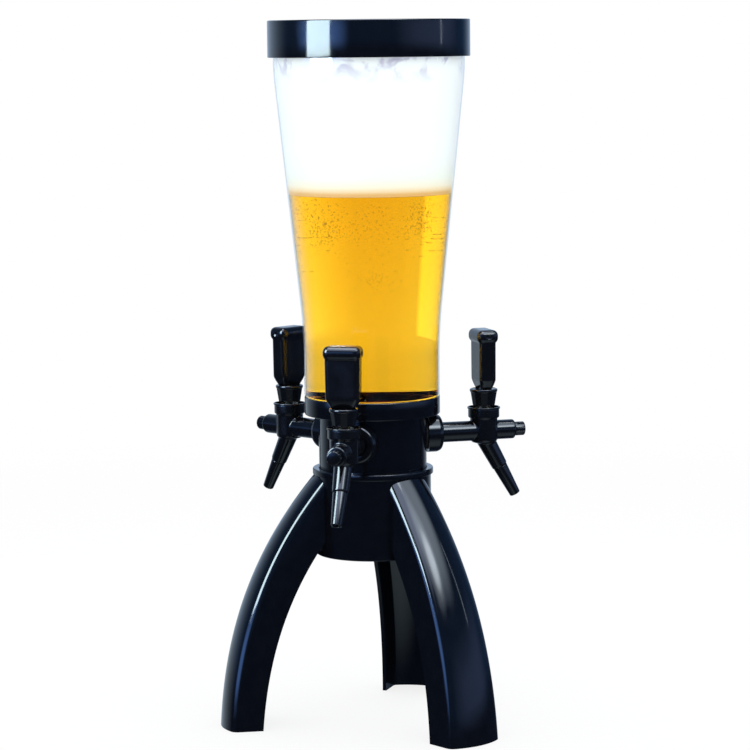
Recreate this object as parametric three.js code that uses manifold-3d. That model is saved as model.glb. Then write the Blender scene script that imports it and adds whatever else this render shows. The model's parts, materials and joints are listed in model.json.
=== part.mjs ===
// A table-top drinks tower with three taps: a clear flared tank with a lift-off lid screws into a black
// tap housing, which stands in a three-legged base. Millimetres, +Z up. The tower's axis is the Z axis,
// the feet stand on z = 0, and the front tap points along -Y.
import * as THREE from "three";
import { mergeVertices } from "three/addons/utils/BufferGeometryUtils.js";
import Module from "manifold-3d";

const wasm = await Module();
wasm.setup();

// ---------------------------------------------------------------- sizes
const gap = 0.3; // between pieces that touch
const bigFacets = 32; // facets in a full turn of the tower's own round pieces
const smallFacets = 12; // facets in a full turn of a tap's round pieces
const screwFacets = 8;
const flatShare = Math.cos(Math.PI / bigFacets); // how near the axis a facet's middle comes, beside its corners

const hub = { bottom: 134, height: 67.6, wall: 3, rim: 1.8, rimHeight: 4.7, ledge: 3, ledgeWidth: 11.5 };
const housing = { radius: 42.2, wall: 3, floor: 6, exposed: 42.3, seat: 146.9, collarWidth: 10.8, collarHeight: 13.9 };
const thread = { wall: 3.5, clearance: 0.5, ledge: 3.1, gasket: 2 };
const tank = {
  wall: 2.5, neckWall: 4, shoulder: 3.5, height: 287.4, mouthRadius: 74.2,
  straight: 27, bend: 23, rim: 34.5, rimBend: 10.6,
};
const lid = { wall: 3.4, height: 28.5, plate: 3.2, clearance: 0.8, plugDepth: 10, plugWall: 2.5, edge: 1.6 };
const tap = {
  count: 3, height: 24.4, reach: 92, barrel: 8, nose: 7.7, bore: 6, noseLength: 25, stub: 8, boss: 10.8,
  cupRadius: 12.4, lip: 13, lipHeight: 1.5, cupRise: 19, cupDepth: 8.5, cupBore: 12, nut: 5.5, nutLength: 8.5,
};
const flange = { radius: 15, length: 12.8, edge: 4.5 };
const washer = { radius: 12.5, thickness: 1.8 };
const lockNut = { corner: 12, thickness: 4.6 };
const spout = { tilt: 0.505, rootRadius: 7.6, stepRadius: 6.3, nozzleRadius: 5.7, tipRadius: 4.3, step: 33, length: 59.5, bore: 3 };
const lever = { pivotRise: 15, ball: 4.5, rod: 1.8, tip: 3.2, top: 40, pull: 20 };
const shaft = { rod: 2.2, block: 5.2, blockLength: 11.5, head: 3.6, headLength: 1.8, sealRadius: 6.8, sealLength: 3.5 };
const ferrule = { bottom: 20, height: 13.4, bottomRadius: 9, topRadius: 11 };
const handle = { height: 47, halfWidth: 13.4, halfDepth: 6.7, headWidth: 14.6, headDepth: 8.6, headHeight: 11, squareness: 2.8 };
const leg = {
  count: 3, azimuth: 54, reach: 123, topWidth: 18.6, footWidth: 25.5, rootRise: 9.8, footDepth: 30,
  crown: 7, corner: 4, wall: 3, web: 3, bend: [[0.6, 0.276], [0.944, 0.583]], screwRise: 6.2, boss: 4,
};
const screw = { radius: 1.6, head: 3.4, headHeight: 2.2, legLength: 10, housingLength: 7.5 };
const lug = { width: 9, height: 6, drop: 16 }; // the tongue at the top of each leg, in a slot of the hub

// heights and radii that follow from the sizes
const hubTop = hub.bottom + hub.height;
const hubInner = housing.radius + gap;
const hubRadius = hubInner + hub.wall;
const rimRadius = hubRadius + hub.rim;
const ledgeInner = hubInner - hub.ledgeWidth;
const collarRadius = housing.radius + housing.collarWidth;
const threadRadius = collarRadius - thread.wall - thread.clearance;
const lidRadius = tank.mouthRadius + lid.clearance + lid.wall;
const noseEnd = tap.reach + tap.noseLength;
const flangeEnd = housing.radius + flange.length;
const collarBottom = hubTop + housing.exposed;
const collarTop = collarBottom + housing.collarHeight;
const housingInner = housing.radius - housing.wall;
const gasketBottom = collarBottom + thread.ledge + gap;
const neckBottom = gasketBottom + thread.gasket + gap;
const shoulderBottom = collarTop + gap;
const tankTop = shoulderBottom + tank.height;
const lidTop = tankTop + gap + lid.plate + 1;
const lidBottom = lidTop - lid.height;
const barrelAxis = hubTop + tap.height;
const pivot = barrelAxis + lever.pivotRise;
const cupTop = barrelAxis + tap.cupRise;
const barrelInner = housingInner - lockNut.thickness - gap - 0.4;
const leverSwing = THREE.MathUtils.degToRad(lever.pull);
const shaftTravel = lever.pivotRise * Math.sin(leverSwing);

// ---------------------------------------------------------------- materials
function plastic(color, roughness) {
  return new THREE.MeshStandardMaterial({ color, roughness, metalness: 0 });
}
const glossBlack = plastic(0x10131b, 0.18);
const satinBlack = plastic(0x131417, 0.42);
const clearTank = new THREE.MeshStandardMaterial({ color: 0xf2f8fa, roughness: 0.05, transparent: true, opacity: 0.3 });
const whiteAcetal = plastic(0xe8e6de, 0.4);
const greyRubber = plastic(0x3a3b3d, 0.8);
const siliconeSeal = plastic(0xd9d6cb, 0.6);
const steel = new THREE.MeshStandardMaterial({ color: 0xb9bcc0, roughness: 0.28, metalness: 1 });

// ---------------------------------------------------------------- shapes
// A closed three.js geometry as a manifold-3d solid.
function solid(geometry) {
  const bare = new THREE.BufferGeometry();
  bare.setAttribute("position", geometry.getAttribute("position"));
  bare.setIndex(geometry.index);
  const merged = mergeVertices(bare, 1e-4);
  const corners = merged.index.array;
  const kept = [];
  for (let i = 0; i < corners.length; i += 3) {
    const [a, b, c] = [corners[i], corners[i + 1], corners[i + 2]];
    if (a !== b && b !== c && c !== a) kept.push(a, b, c);
  }
  return new wasm.Manifold(new wasm.Mesh({
    numProp: 3,
    vertProperties: new Float32Array(merged.attributes.position.array),
    triVerts: new Uint32Array(kept),
  }));
}

function meshOf(name, shape, material) {
  const made = shape.getMesh();
  const geometry = new THREE.BufferGeometry();
  geometry.setAttribute("position", new THREE.BufferAttribute(made.vertProperties, 3));
  geometry.setIndex(new THREE.BufferAttribute(made.triVerts, 1));
  geometry.computeVertexNormals();
  const mesh = new THREE.Mesh(geometry, material);
  mesh.name = name;
  return mesh;
}

// A turned geometry about Z from [radius, height] points, given anticlockwise or clockwise.
function turning(profile, facets) {
  let area = 0;
  profile.forEach(([r, h], i) => {
    const [r2, h2] = profile[(i + 1) % profile.length];
    area += r * h2 - r2 * h;
  });
  const ordered = area > 0 ? [...profile] : [...profile].reverse();
  const onAxis = profile.some(([r]) => r === 0);
  if (onAxis) while (ordered[0][0] !== 0 || ordered[ordered.length - 1][0] !== 0) ordered.push(ordered.shift());
  else ordered.push(ordered[0]);
  const points = ordered.map(([r, h]) => new THREE.Vector2(r, h));
  return new THREE.LatheGeometry(points, facets).rotateX(Math.PI / 2);
}

const turned = (profile, facets = smallFacets) => solid(turning(profile, facets));

// The same about a line along X at height z, with [radius, x] points.
const turnedAlongX = (profile, z, facets = smallFacets) =>
  solid(turning(profile, facets).rotateY(Math.PI / 2).translate(0, 0, z));

// A rod about Z from bottom to top, and one about a line along X.
const rodProfile = (radius, from, to) => [[0, from], [radius, from], [radius, to], [0, to]];
const rod = (radius, from, to, facets) => turned(rodProfile(radius, from, to), facets);
const rodAlongX = (radius, from, to, z, facets) => turnedAlongX(rodProfile(radius, from, to), z, facets);

function block([x0, x1], [y0, y1], [z0, z1]) {
  const geometry = new THREE.BoxGeometry(x1 - x0, y1 - y0, z1 - z0);
  return solid(geometry.translate((x0 + x1) / 2, (y0 + y1) / 2, (z0 + z1) / 2));
}

// [radius, height] points of an arc about the axis point at height `centre`, by angle from straight down.
function ballArc(radius, centre, fromDegrees, toDegrees, steps) {
  const points = [];
  for (let i = 0; i <= steps; i++) {
    const angle = THREE.MathUtils.degToRad(fromDegrees + ((toDegrees - fromDegrees) * i) / steps);
    points.push([radius * Math.sin(angle), centre - radius * Math.cos(angle)]);
  }
  return points;
}

// A closed skin through rings of points, with both ends capped by the outline they were made from.
function loft(rings, outline) {
  const count = outline.length;
  const positions = rings.flat().flatMap((p) => [p.x, p.y, p.z]);
  const faces = [];
  for (let ring = 0; ring + 1 < rings.length; ring++) {
    for (let i = 0; i < count; i++) {
      const a = ring * count + i;
      const b = ring * count + ((i + 1) % count);
      faces.push(a, b, b + count, a, b + count, a + count);
    }
  }
  const last = (rings.length - 1) * count;
  for (const [a, b, c] of THREE.ShapeUtils.triangulateShape(outline, [])) {
    faces.push(a, c, b, last + a, last + b, last + c);
  }
  const geometry = new THREE.BufferGeometry();
  geometry.setAttribute("position", new THREE.Float32BufferAttribute(positions, 3));
  geometry.setIndex(faces);
  return solid(geometry);
}

// ---------------------------------------------------------------- base
// The hub is a moulded sleeve with a rim, an inner ledge that the tap housing stands on, a slot for each
// leg's tongue, and holes for the screws.
function makeHub() {
  const ledgeTop = housing.seat - gap;
  let shape = turned([
    [hubRadius, hub.bottom], [hubRadius, hubTop - hub.rimHeight], [rimRadius, hubTop - hub.rimHeight],
    [rimRadius, hubTop], [hubInner, hubTop], [hubInner, ledgeTop], [ledgeInner, ledgeTop],
    [ledgeInner, ledgeTop - hub.ledge], [hubInner, ledgeTop - hub.ledge], [hubInner, hub.bottom],
  ], bigFacets);
  for (const turn of legTurns) {
    const slot = block([hubInner - 2, hubRadius + 2], [-lug.width / 2 - gap, lug.width / 2 + gap],
      [lugBottom - gap, lugBottom + lug.height + gap]);
    const hole = rodAlongX(screw.radius + gap, hubInner - 2, hubRadius + 2, legScrewHeight, screwFacets);
    shape = shape.subtract(slot.add(hole).rotate([0, 0, turn]));
  }
  for (const turn of housingScrewTurns) {
    const hole = rod(screw.radius + gap, ledgeTop - hub.ledge - 1, ledgeTop + 1, screwFacets);
    shape = shape.subtract(hole.translate([housingScrewRadius, 0, 0]).rotate([0, 0, turn]));
  }
  return shape;
}

// The outside and the inside of a leg's U section: [sideways, depth] from the middle of its crowned face.
function legOutline(halfWidth, depth) {
  const crownRadius = (halfWidth ** 2 + leg.crown ** 2) / (2 * leg.crown);
  const cornerSide = halfWidth - leg.corner;
  const cornerDepth = crownRadius - Math.sqrt((crownRadius - leg.corner) ** 2 - cornerSide ** 2);
  const meet = Math.asin(cornerSide / (crownRadius - leg.corner));
  const side = (inset, crownSteps, cornerSteps) => {
    const half = [];
    for (let i = 1; i <= crownSteps; i++) {
      const angle = (meet * i) / crownSteps;
      const r = crownRadius - inset;
      half.push([r * Math.sin(angle), crownRadius - r * Math.cos(angle)]);
    }
    for (let i = 1; i <= cornerSteps; i++) {
      const angle = meet + ((Math.PI / 2 - meet) * i) / cornerSteps;
      const r = leg.corner - inset;
      half.push([cornerSide + r * Math.sin(angle), cornerDepth - r * Math.cos(angle)]);
    }
    half.push([halfWidth - inset, depth]);
    return [...half.map(([y, d]) => [-y, d]).reverse(), [0, inset], ...half];
  };
  return { outer: side(0, 2, 2).reverse(), inner: side(leg.wall, 2, 1) };
}

const legTurn = leg.azimuth - 90; // the leg's own +X points outwards
const legTurns = Array.from({ length: leg.count }, (_, i) => legTurn + (360 / leg.count) * i);
const lugBottom = hubTop - lug.drop;
const legScrewHeight = hub.bottom + leg.screwRise;
const housingScrewRadius = (ledgeInner + housing.radius) / 2;
const housingScrewTurns = legTurns.map((turn) => turn + 60);

// A leg is a thin channel, open towards the tower, that sweeps out and down from under the hub's rim. A web
// inside it lies against the hub and takes the screw, and its tongue hooks into the hub's slot.
function makeLeg() {
  const start = new THREE.Vector2(hubRadius - 1.5, hubTop - 1.6);
  const span = new THREE.Vector2(leg.reach - start.x, -start.y);
  const [first, second] = leg.bend.map(([x, z]) => new THREE.Vector2(start.x + span.x * x, start.y + span.y * z));
  const curve = new THREE.CubicBezierCurve(start, first, second, new THREE.Vector2(leg.reach, 0));
  const leaving = curve.getTangent(0);
  const topDepth = leaving.x * (start.y - hub.bottom - leg.rootRise) + leaving.y * (hubRadius - start.x);
  const steps = 9;
  const overrun = 6; // past the table, so that the foot can be cut level
  const channel = [];
  const filled = [];
  for (let i = 0; i <= steps + 1; i++) {
    const share = Math.min(i / steps, 1);
    const point = curve.getPoint(share);
    const along = curve.getTangent(share);
    if (i > steps) point.addScaledVector(along, overrun);
    const halfWidth = THREE.MathUtils.lerp(leg.topWidth, leg.footWidth, share);
    const depth = THREE.MathUtils.lerp(topDepth, leg.footDepth, share);
    const { outer, inner } = legOutline(halfWidth, depth);
    const place = ([y, d]) => new THREE.Vector3(point.x + along.y * d, y, point.y - along.x * d);
    channel.push([...outer, ...inner].map(place));
    filled.push(outer.map(place));
  }
  const { outer, inner } = legOutline(leg.footWidth, leg.footDepth);
  const flat = ([y, d]) => new THREE.Vector2(y, -d);
  const far = 2 * leg.reach;
  const touch = hubRadius + gap;
  let shape = loft(channel, [...outer, ...inner].map(flat));
  const web = rod(touch + leg.web, hub.bottom + gap, hubTop, bigFacets).intersect(loft(filled, outer.map(flat)));
  const boss = rodAlongX(leg.boss, hubRadius, touch + screw.legLength - 1, legScrewHeight, screwFacets);
  shape = shape.add(web).add(boss);
  shape = shape.subtract(rod(touch, -1, far, bigFacets));
  shape = shape.subtract(block([-far, far], [-far, far], [-far, 0]));
  shape = shape.subtract(block([-far, far], [-far, far], [hubTop - hub.rimHeight - gap, far]));
  const tongue = block([housing.radius + 2 * gap, touch + 1], [-lug.width / 2, lug.width / 2],
    [lugBottom, lugBottom + lug.height]);
  const pilot = rodAlongX(screw.radius + gap, 0, touch + screw.legLength - 2.5, legScrewHeight, screwFacets);
  return shape.add(tongue).subtract(pilot);
}

// A pan-head screw along +X, with its head's face at x = 0 and a slot for the driver.
function makeScrew(length) {
  const shape = turnedAlongX([
    [0, -screw.headHeight], [screw.head - 0.8, -screw.headHeight], [screw.head, -screw.headHeight + 0.9],
    [screw.head, 0], [screw.radius, 0], [screw.radius, length - 1.2], [0, length],
  ], 0, screwFacets);
  const slot = block([-screw.headHeight - 1, -screw.headHeight + 1], [-screw.head - 1, screw.head + 1], [-0.4, 0.4]);
  return shape.subtract(slot);
}

// ---------------------------------------------------------------- tap housing
// One moulding: a cup that the three taps pass through, with a wide collar that the tank screws into.
function makeHousing() {
  const bottom = housing.seat;
  const socket = threadRadius + thread.clearance;
  const ledge = collarBottom + thread.ledge;
  let shape = turned([
    [0, bottom], [housing.radius, bottom], [housing.radius, collarBottom], [collarRadius - 1, collarBottom],
    [collarRadius, collarBottom + 1], [collarRadius, collarTop], [socket, collarTop],
    [socket, ledge], [housingInner, ledge], [housingInner, bottom + housing.floor], [0, bottom + housing.floor],
  ], bigFacets);
  for (const turn of tapTurns) {
    const hole = rodAlongX(tap.barrel + gap, housingInner - 4, housing.radius + 4, barrelAxis);
    shape = shape.subtract(hole.rotate([0, 0, turn]));
  }
  for (const turn of housingScrewTurns) {
    const pilot = rod(screw.radius + gap, bottom - 1, bottom + housing.floor - 1.5, screwFacets);
    shape = shape.subtract(pilot.translate([housingScrewRadius, 0, 0]).rotate([0, 0, turn]));
  }
  return shape;
}

function ring(inner, outer, from, to, facets = smallFacets) {
  return turned([[inner, from], [outer, from], [outer, to], [inner, to]], facets);
}

// ---------------------------------------------------------------- tank and lid
// The tank's outline, moved inwards by the wall: straight at the foot, a long cone, then a straight rim.
function tankSide(inset, from) {
  const foot = collarRadius - inset;
  const mouth = tank.mouthRadius - inset;
  const coneStart = shoulderBottom + tank.straight + tank.bend;
  const coneEnd = tankTop - tank.rim;
  const slope = (mouth - foot) / (coneEnd - coneStart);
  const side = new THREE.Path();
  side.moveTo(foot, from);
  side.lineTo(foot, coneStart - tank.bend);
  side.quadraticCurveTo(foot, coneStart, foot + tank.bend * slope, coneStart + tank.bend);
  side.lineTo(mouth - tank.rimBend * slope, coneEnd - tank.rimBend);
  side.quadraticCurveTo(mouth, coneEnd, mouth, coneEnd + tank.rimBend);
  side.lineTo(mouth, tankTop);
  return side.getPoints(3).map((p) => [p.x, p.y]);
}

function makeTank() {
  const floorTop = shoulderBottom + tank.shoulder;
  const neckInner = threadRadius - tank.neckWall;
  return turned([
    [neckInner, neckBottom], [threadRadius, neckBottom], [threadRadius, shoulderBottom],
    ...tankSide(0, shoulderBottom), ...tankSide(tank.wall, floorTop + 2).reverse(),
    [collarRadius - tank.wall - 2, floorTop], [neckInner, floorTop - 1],
  ], bigFacets);
}

function makeLid() {
  const inner = tank.mouthRadius + lid.clearance;
  const plug = tank.mouthRadius - tank.wall - lid.clearance;
  const under = lidTop - lid.plate;
  return turned([
    [0, lidTop], [lidRadius - lid.edge, lidTop], [lidRadius - 0.3 * lid.edge, lidTop - 0.3 * lid.edge],
    [lidRadius, lidTop - lid.edge], [lidRadius, lidBottom], [inner, lidBottom], [inner, under],
    [plug, under], [plug, under - lid.plugDepth], [plug - lid.plugWall, under - lid.plugDepth],
    [plug - lid.plugWall, under], [0, under],
  ], bigFacets);
}

// ---------------------------------------------------------------- one tap, in its own frame: +X outwards, +Z up
const tapTurns = Array.from({ length: tap.count }, (_, i) => (360 / tap.count) * i - 90);

// The spout's own frame has its axis along +Z from the barrel's axis out to the tip, before it is tipped.
const spoutRoot = tap.reach - 2.8;
const spoutPiece = (profile) =>
  solid(turning(profile, smallFacets).rotateY(Math.PI - spout.tilt).translate(spoutRoot, 0, barrelAxis));
const stepSleeve = 7; // how far the nozzle's spigot goes up inside the spout

function makeTapBody() {
  const noseStart = tap.reach + 4;
  const outer = turnedAlongX([
    [0, barrelInner], [tap.barrel, barrelInner], [tap.barrel, noseStart], [tap.nose, noseStart + 1],
    [tap.nose, noseEnd - 1.2], [tap.nose - 1.2, noseEnd], [0, noseEnd],
  ], barrelAxis);
  const cupBottom = cupTop - tap.cupDepth;
  const boss = turned([
    [0, barrelAxis - 11.5], [6, barrelAxis - 11], [tap.boss - 1.5, barrelAxis - 8], [tap.boss, barrelAxis - 4],
    [tap.boss, cupBottom - 1], [tap.cupRadius, cupBottom + 1], [tap.cupRadius, cupTop - tap.lipHeight],
    [tap.lip, cupTop - tap.lipHeight], [tap.lip, cupTop], [0, cupTop],
  ]).translate([tap.reach, 0, 0]);
  const spoutOuter = spoutPiece([[0, 2], [spout.rootRadius, 2], [spout.stepRadius, spout.step], [0, spout.step]]);
  let shape = outer.add(boss).add(spoutOuter);
  const seat = pivot - 2.6; // where the lever's ball rests in the cup's floor
  const cavity = turned([
    [0, barrelAxis], [tap.bore - 0.2, barrelAxis], [tap.bore - 0.2, barrelAxis + 5.5], [3.9, seat],
    [tap.cupBore - 0.4, seat], [tap.cupBore, cupTop + 1], [0, cupTop + 1],
  ]).translate([tap.reach, 0, 0]);
  const bore = turnedAlongX([
    [0, barrelInner - 1], [tap.bore, barrelInner - 1], [tap.bore, noseEnd - tap.stub - 3],
    [4.5, noseEnd - tap.stub - 3], [4.5, noseEnd + 1], [0, noseEnd + 1],
  ], barrelAxis);
  const spigot = spout.nozzleRadius - 1.3;
  const spoutBore = spoutPiece([
    [0, 3], [spout.bore, 3], [spout.bore, spout.step - stepSleeve - gap], [spigot + gap, spout.step - stepSleeve - gap],
    [spigot + gap, spout.step + 1], [0, spout.step + 1],
  ]);
  return shape.subtract(cavity).subtract(bore).subtract(spoutBore);
}

function makeNozzle() {
  const spigot = spout.nozzleRadius - 1.3;
  const top = spout.step + gap;
  return spoutPiece([
    [spout.bore, spout.step - stepSleeve], [spigot, spout.step - stepSleeve], [spigot, top], [spout.nozzleRadius, top],
    [spout.tipRadius + 0.2, spout.length - 1], [spout.tipRadius - 0.4, spout.length], [spout.bore, spout.length],
  ]);
}

// The washer and the flange are hollowed to sit on the housing's round wall.
function makeWasher() {
  const outside = housing.radius + gap;
  return turnedAlongX([
    [tap.barrel + gap, outside - 8], [washer.radius, outside - 8], [washer.radius, outside + washer.thickness],
    [tap.barrel + gap, outside + washer.thickness],
  ], barrelAxis).intersect(rod(outside + washer.thickness, barrelAxis - 40, barrelAxis + 40, bigFacets))
    .subtract(rod(outside, barrelAxis - 40, barrelAxis + 40, bigFacets));
}

function makeFlange() {
  const outside = housing.radius + washer.thickness + 2 * gap;
  return turnedAlongX([
    [tap.barrel + gap, outside - 8], [flange.radius, outside - 8], [flange.radius, flangeEnd - flange.edge],
    [flange.radius - 1, flangeEnd - 0.4 * flange.edge], [flange.radius - 0.7 * flange.edge, flangeEnd],
    [tap.barrel + gap, flangeEnd],
  ], barrelAxis, 18).subtract(rod(outside, barrelAxis - 40, barrelAxis + 40, bigFacets));
}

function makeLockNut() {
  const end = housingInner - gap;
  return turnedAlongX([
    [tap.barrel + gap, end - lockNut.thickness], [lockNut.corner, end - lockNut.thickness], [lockNut.corner, end + 2],
    [tap.barrel + gap, end + 2],
  ], barrelAxis, 6).subtract(rodAlongX(tap.barrel + gap, 0, end + 4, barrelAxis))
    .intersect(rod(end, barrelAxis - 40, barrelAxis + 40, bigFacets));
}

const sealEnd = barrelInner - gap;
const sealStart = sealEnd - shaft.sealLength;

// The valve's shaft runs the length of the barrel. The block under the cup is slotted for the lever's tip.
function makeShaft() {
  const half = shaft.blockLength / 2;
  const head = sealStart - gap;
  const core = turnedAlongX([
    [0, head - shaft.headLength], [shaft.head, head - shaft.headLength], [shaft.head, head], [shaft.rod, head],
    [shaft.rod, tap.reach - half - 1.5], [shaft.block, tap.reach - half], [shaft.block, tap.reach + half],
    [shaft.rod, tap.reach + half + 1.5], [shaft.rod, noseEnd - 5], [0, noseEnd - 5],
  ], barrelAxis);
  const room = lever.tip + 0.7;
  return core.subtract(block([tap.reach - room, tap.reach + room], [-lever.tip - gap, lever.tip + gap],
    [barrelAxis - lever.tip - gap, barrelAxis + 20]));
}

function makeSeal() {
  return turnedAlongX([
    [shaft.rod + gap, sealStart], [shaft.sealRadius - 0.8, sealStart], [shaft.sealRadius, sealStart + 0.8],
    [shaft.sealRadius, sealEnd - 0.6], [shaft.sealRadius - 0.6, sealEnd], [shaft.rod + gap, sealEnd],
  ], barrelAxis);
}

// The end nut closes the barrel's nose, and its blind bore guides the shaft.
function makeEndNut() {
  const stub = 4.5 - gap;
  const start = noseEnd + gap;
  const end = start + tap.nutLength - gap;
  const outer = turnedAlongX([
    [0, noseEnd - tap.stub], [stub, noseEnd - tap.stub], [stub, start], [tap.nut, start],
    [tap.nut, end - 1], [tap.nut - 1, end], [0, end],
  ], barrelAxis);
  const guide = rodAlongX(shaft.rod + gap, 0, noseEnd - 4, barrelAxis);
  let grips = outer.subtract(guide);
  for (let i = 0; i < 6; i++) {
    const notch = block([start + 1.2, end + 1], [-0.7, 0.7], [tap.nut - 0.6, tap.nut + 1]);
    grips = grips.subtract(notch.rotate([60 * i, 0, 0]).translate([0, 0, barrelAxis]));
  }
  return grips;
}

// A dished ring pressed into the cup holds the lever's ball on its seat.
function makeBallRetainer() {
  const seat = pivot - 2.6 + gap;
  const edge = tap.cupBore - 0.4 - gap;
  return turned([
    [lever.ball + gap, seat], [edge, seat], [edge, pivot], [lever.ball + 0.2, pivot + 2.3],
    [lever.ball - 0.35, pivot + 2.3], [lever.ball + gap, pivot + 0.7],
  ]).translate([tap.reach, 0, 0]);
}

function makeLever() {
  const neck = (radius) => THREE.MathUtils.radToDeg(Math.asin(lever.rod / radius));
  return turned([
    ...ballArc(lever.tip, barrelAxis, 0, 180 - neck(lever.tip), 4),
    ...ballArc(lever.ball, pivot, neck(lever.ball), 180 - neck(lever.ball), 5),
    [lever.rod, barrelAxis + lever.top], [0, barrelAxis + lever.top],
  ]).translate([tap.reach, 0, 0]);
}

function makeFerrule() {
  const bottom = barrelAxis + ferrule.bottom;
  const top = bottom + ferrule.height;
  return turned([
    [lever.rod + gap, bottom], [ferrule.bottomRadius - 0.5, bottom], [ferrule.bottomRadius, bottom + 1],
    [ferrule.topRadius, top - 2], [ferrule.topRadius, top - 1], [ferrule.topRadius - 0.9, top],
    [lever.rod + gap, top],
  ]).translate([tap.reach, 0, 0]);
}

// The handle is a flat paddle that swells into a rounded bar at its top.
function makeHandle() {
  const bottom = barrelAxis + ferrule.bottom + ferrule.height + gap;
  const headBottom = handle.height - handle.headHeight;
  const stations = [ // height up the handle, half width, half depth
    [0, 9.6, 6.9], [3.5, handle.halfWidth - 1.1, handle.halfDepth - 0.4], [9, handle.halfWidth - 0.5, handle.halfDepth],
    [headBottom - 1.5, handle.halfWidth, handle.halfDepth], [headBottom + 1, handle.headWidth - 0.6, handle.headDepth - 0.8],
    [headBottom + 3.5, handle.headWidth, handle.headDepth], [handle.height - 3.2, handle.headWidth, handle.headDepth],
    [handle.height - 1, handle.headWidth - 1.2, handle.headDepth - 1.5],
    [handle.height, handle.headWidth - 3.6, handle.headDepth - 4],
  ];
  const steps = 16;
  const outlineAt = (width, depth) => Array.from({ length: steps }, (_, i) => {
    const angle = (2 * Math.PI * i) / steps;
    const bulge = (v) => Math.sign(v) * Math.abs(v) ** (2 / handle.squareness);
    return new THREE.Vector2(depth * bulge(Math.cos(angle)), width * bulge(Math.sin(angle)));
  });
  const rings = stations.map(([rise, width, depth]) =>
    outlineAt(width, depth).map((p) => new THREE.Vector3(tap.reach + p.x, p.y, bottom + rise)));
  const socket = rod(lever.rod + gap, 0, barrelAxis + lever.top + gap).translate([tap.reach, 0, 0]);
  return loft(rings, outlineAt(1, 1)).subtract(socket);
}

// ---------------------------------------------------------------- assembly
const tower = new THREE.Group();
const degrees = THREE.MathUtils.degToRad;

function addTurned(turn, meshes) {
  const group = new THREE.Group();
  group.rotation.z = degrees(turn);
  group.add(...meshes);
  tower.add(group);
}

tower.add(
  meshOf("hub", makeHub(), glossBlack),
  meshOf("tap_housing", makeHousing(), glossBlack),
  meshOf("tank_gasket",
    ring(housingInner + 2, threadRadius - 0.6, gasketBottom, gasketBottom + thread.gasket, bigFacets), siliconeSeal),
  meshOf("tank", makeTank(), clearTank),
  meshOf("lid", makeLid(), glossBlack),
);

const legNames = ["right", "rear", "left"];
const legShape = makeLeg();
const legScrewFace = Math.sqrt((hubInner * flatShare) ** 2 - screw.head ** 2) - gap;
const legScrewShape = makeScrew(screw.legLength).translate([legScrewFace, 0, legScrewHeight]);
const housingScrewShape = makeScrew(screw.housingLength).rotate([0, -90, 0])
  .translate([housingScrewRadius, 0, housing.seat - gap - hub.ledge - gap]);
legTurns.forEach((turn, i) => {
  addTurned(turn, [
    meshOf(`leg_${legNames[i]}`, legShape, glossBlack),
    meshOf(`leg_screw_${legNames[i]}`, legScrewShape, steel),
  ]);
});
housingScrewTurns.forEach((turn, i) => {
  addTurned(turn, [meshOf(`housing_screw_${i + 1}`, housingScrewShape, steel)]);
});

const tapPieces = [
  ["tap_body", makeTapBody(), satinBlack],
  ["spout_nozzle", makeNozzle(), satinBlack],
  ["wall_washer", makeWasher(), greyRubber],
  ["flange_nut", makeFlange(), satinBlack],
  ["lock_nut", makeLockNut(), satinBlack],
  ["valve_shaft", makeShaft(), whiteAcetal],
  ["valve_seal", makeSeal(), siliconeSeal],
  ["end_nut", makeEndNut(), satinBlack],
  ["ball_retainer", makeBallRetainer(), whiteAcetal],
  ["lever", makeLever(), steel],
  ["ferrule", makeFerrule(), satinBlack],
  ["handle", makeHandle(), satinBlack],
];
const tapNames = ["front", "right", "left"];
tapTurns.forEach((turn, i) => {
  addTurned(turn, tapPieces.map(([name, shape, material]) => meshOf(`${name}_${tapNames[i]}`, shape, material)));
});

export default tower;
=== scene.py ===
"""A table-top lager tower: a clear flared tank with a black lid, screwed into a housing with three lever
taps, on a hub with three channel legs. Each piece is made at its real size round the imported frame."""
import json
import math
import random

import bmesh
import bpy
from mathutils import Matrix, Vector


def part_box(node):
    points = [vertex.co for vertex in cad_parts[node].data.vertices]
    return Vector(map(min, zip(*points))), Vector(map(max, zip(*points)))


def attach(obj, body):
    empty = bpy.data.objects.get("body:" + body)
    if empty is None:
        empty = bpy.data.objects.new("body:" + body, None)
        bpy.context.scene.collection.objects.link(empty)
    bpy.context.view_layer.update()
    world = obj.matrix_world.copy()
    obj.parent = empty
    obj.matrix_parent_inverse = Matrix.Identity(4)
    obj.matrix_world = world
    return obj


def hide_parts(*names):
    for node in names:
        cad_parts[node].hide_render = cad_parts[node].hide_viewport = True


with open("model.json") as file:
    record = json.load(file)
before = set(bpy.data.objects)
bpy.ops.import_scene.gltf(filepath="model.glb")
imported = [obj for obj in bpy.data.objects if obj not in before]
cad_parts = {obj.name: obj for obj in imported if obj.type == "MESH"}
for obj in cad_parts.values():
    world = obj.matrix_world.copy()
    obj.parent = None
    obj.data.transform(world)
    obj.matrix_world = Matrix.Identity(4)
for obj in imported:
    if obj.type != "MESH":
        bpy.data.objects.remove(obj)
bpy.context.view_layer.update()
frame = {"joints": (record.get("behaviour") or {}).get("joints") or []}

# ------------------------------------------------------------------ lid
# A shallow cap of gloss black ABS, injection moulded in one piece. It drops loose over the tank's rim, and a
# plug ring inside it keeps it centred. Its skirt is plain and straight, with a small radius at the top.
MM = 0.001  # outlines are in millimetres
LID_FACETS = 160
LID_WALL = 3.4
LID_PLATE = 3.2
LID_PLUG_WALL = 2.5
LID_PLUG_DEPTH = 10.0
RIM_CLEARANCE = 0.8  # between the lid and the tank's rim, on each side
TANK_WALL = 2.5
ABS_SINK_WAVE = 38 * MM  # how far apart the moulding's faint sinks and swells lie
ABS_WIPE_MARK = 9 * MM  # a cloth's smears, which vary the gloss


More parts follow.
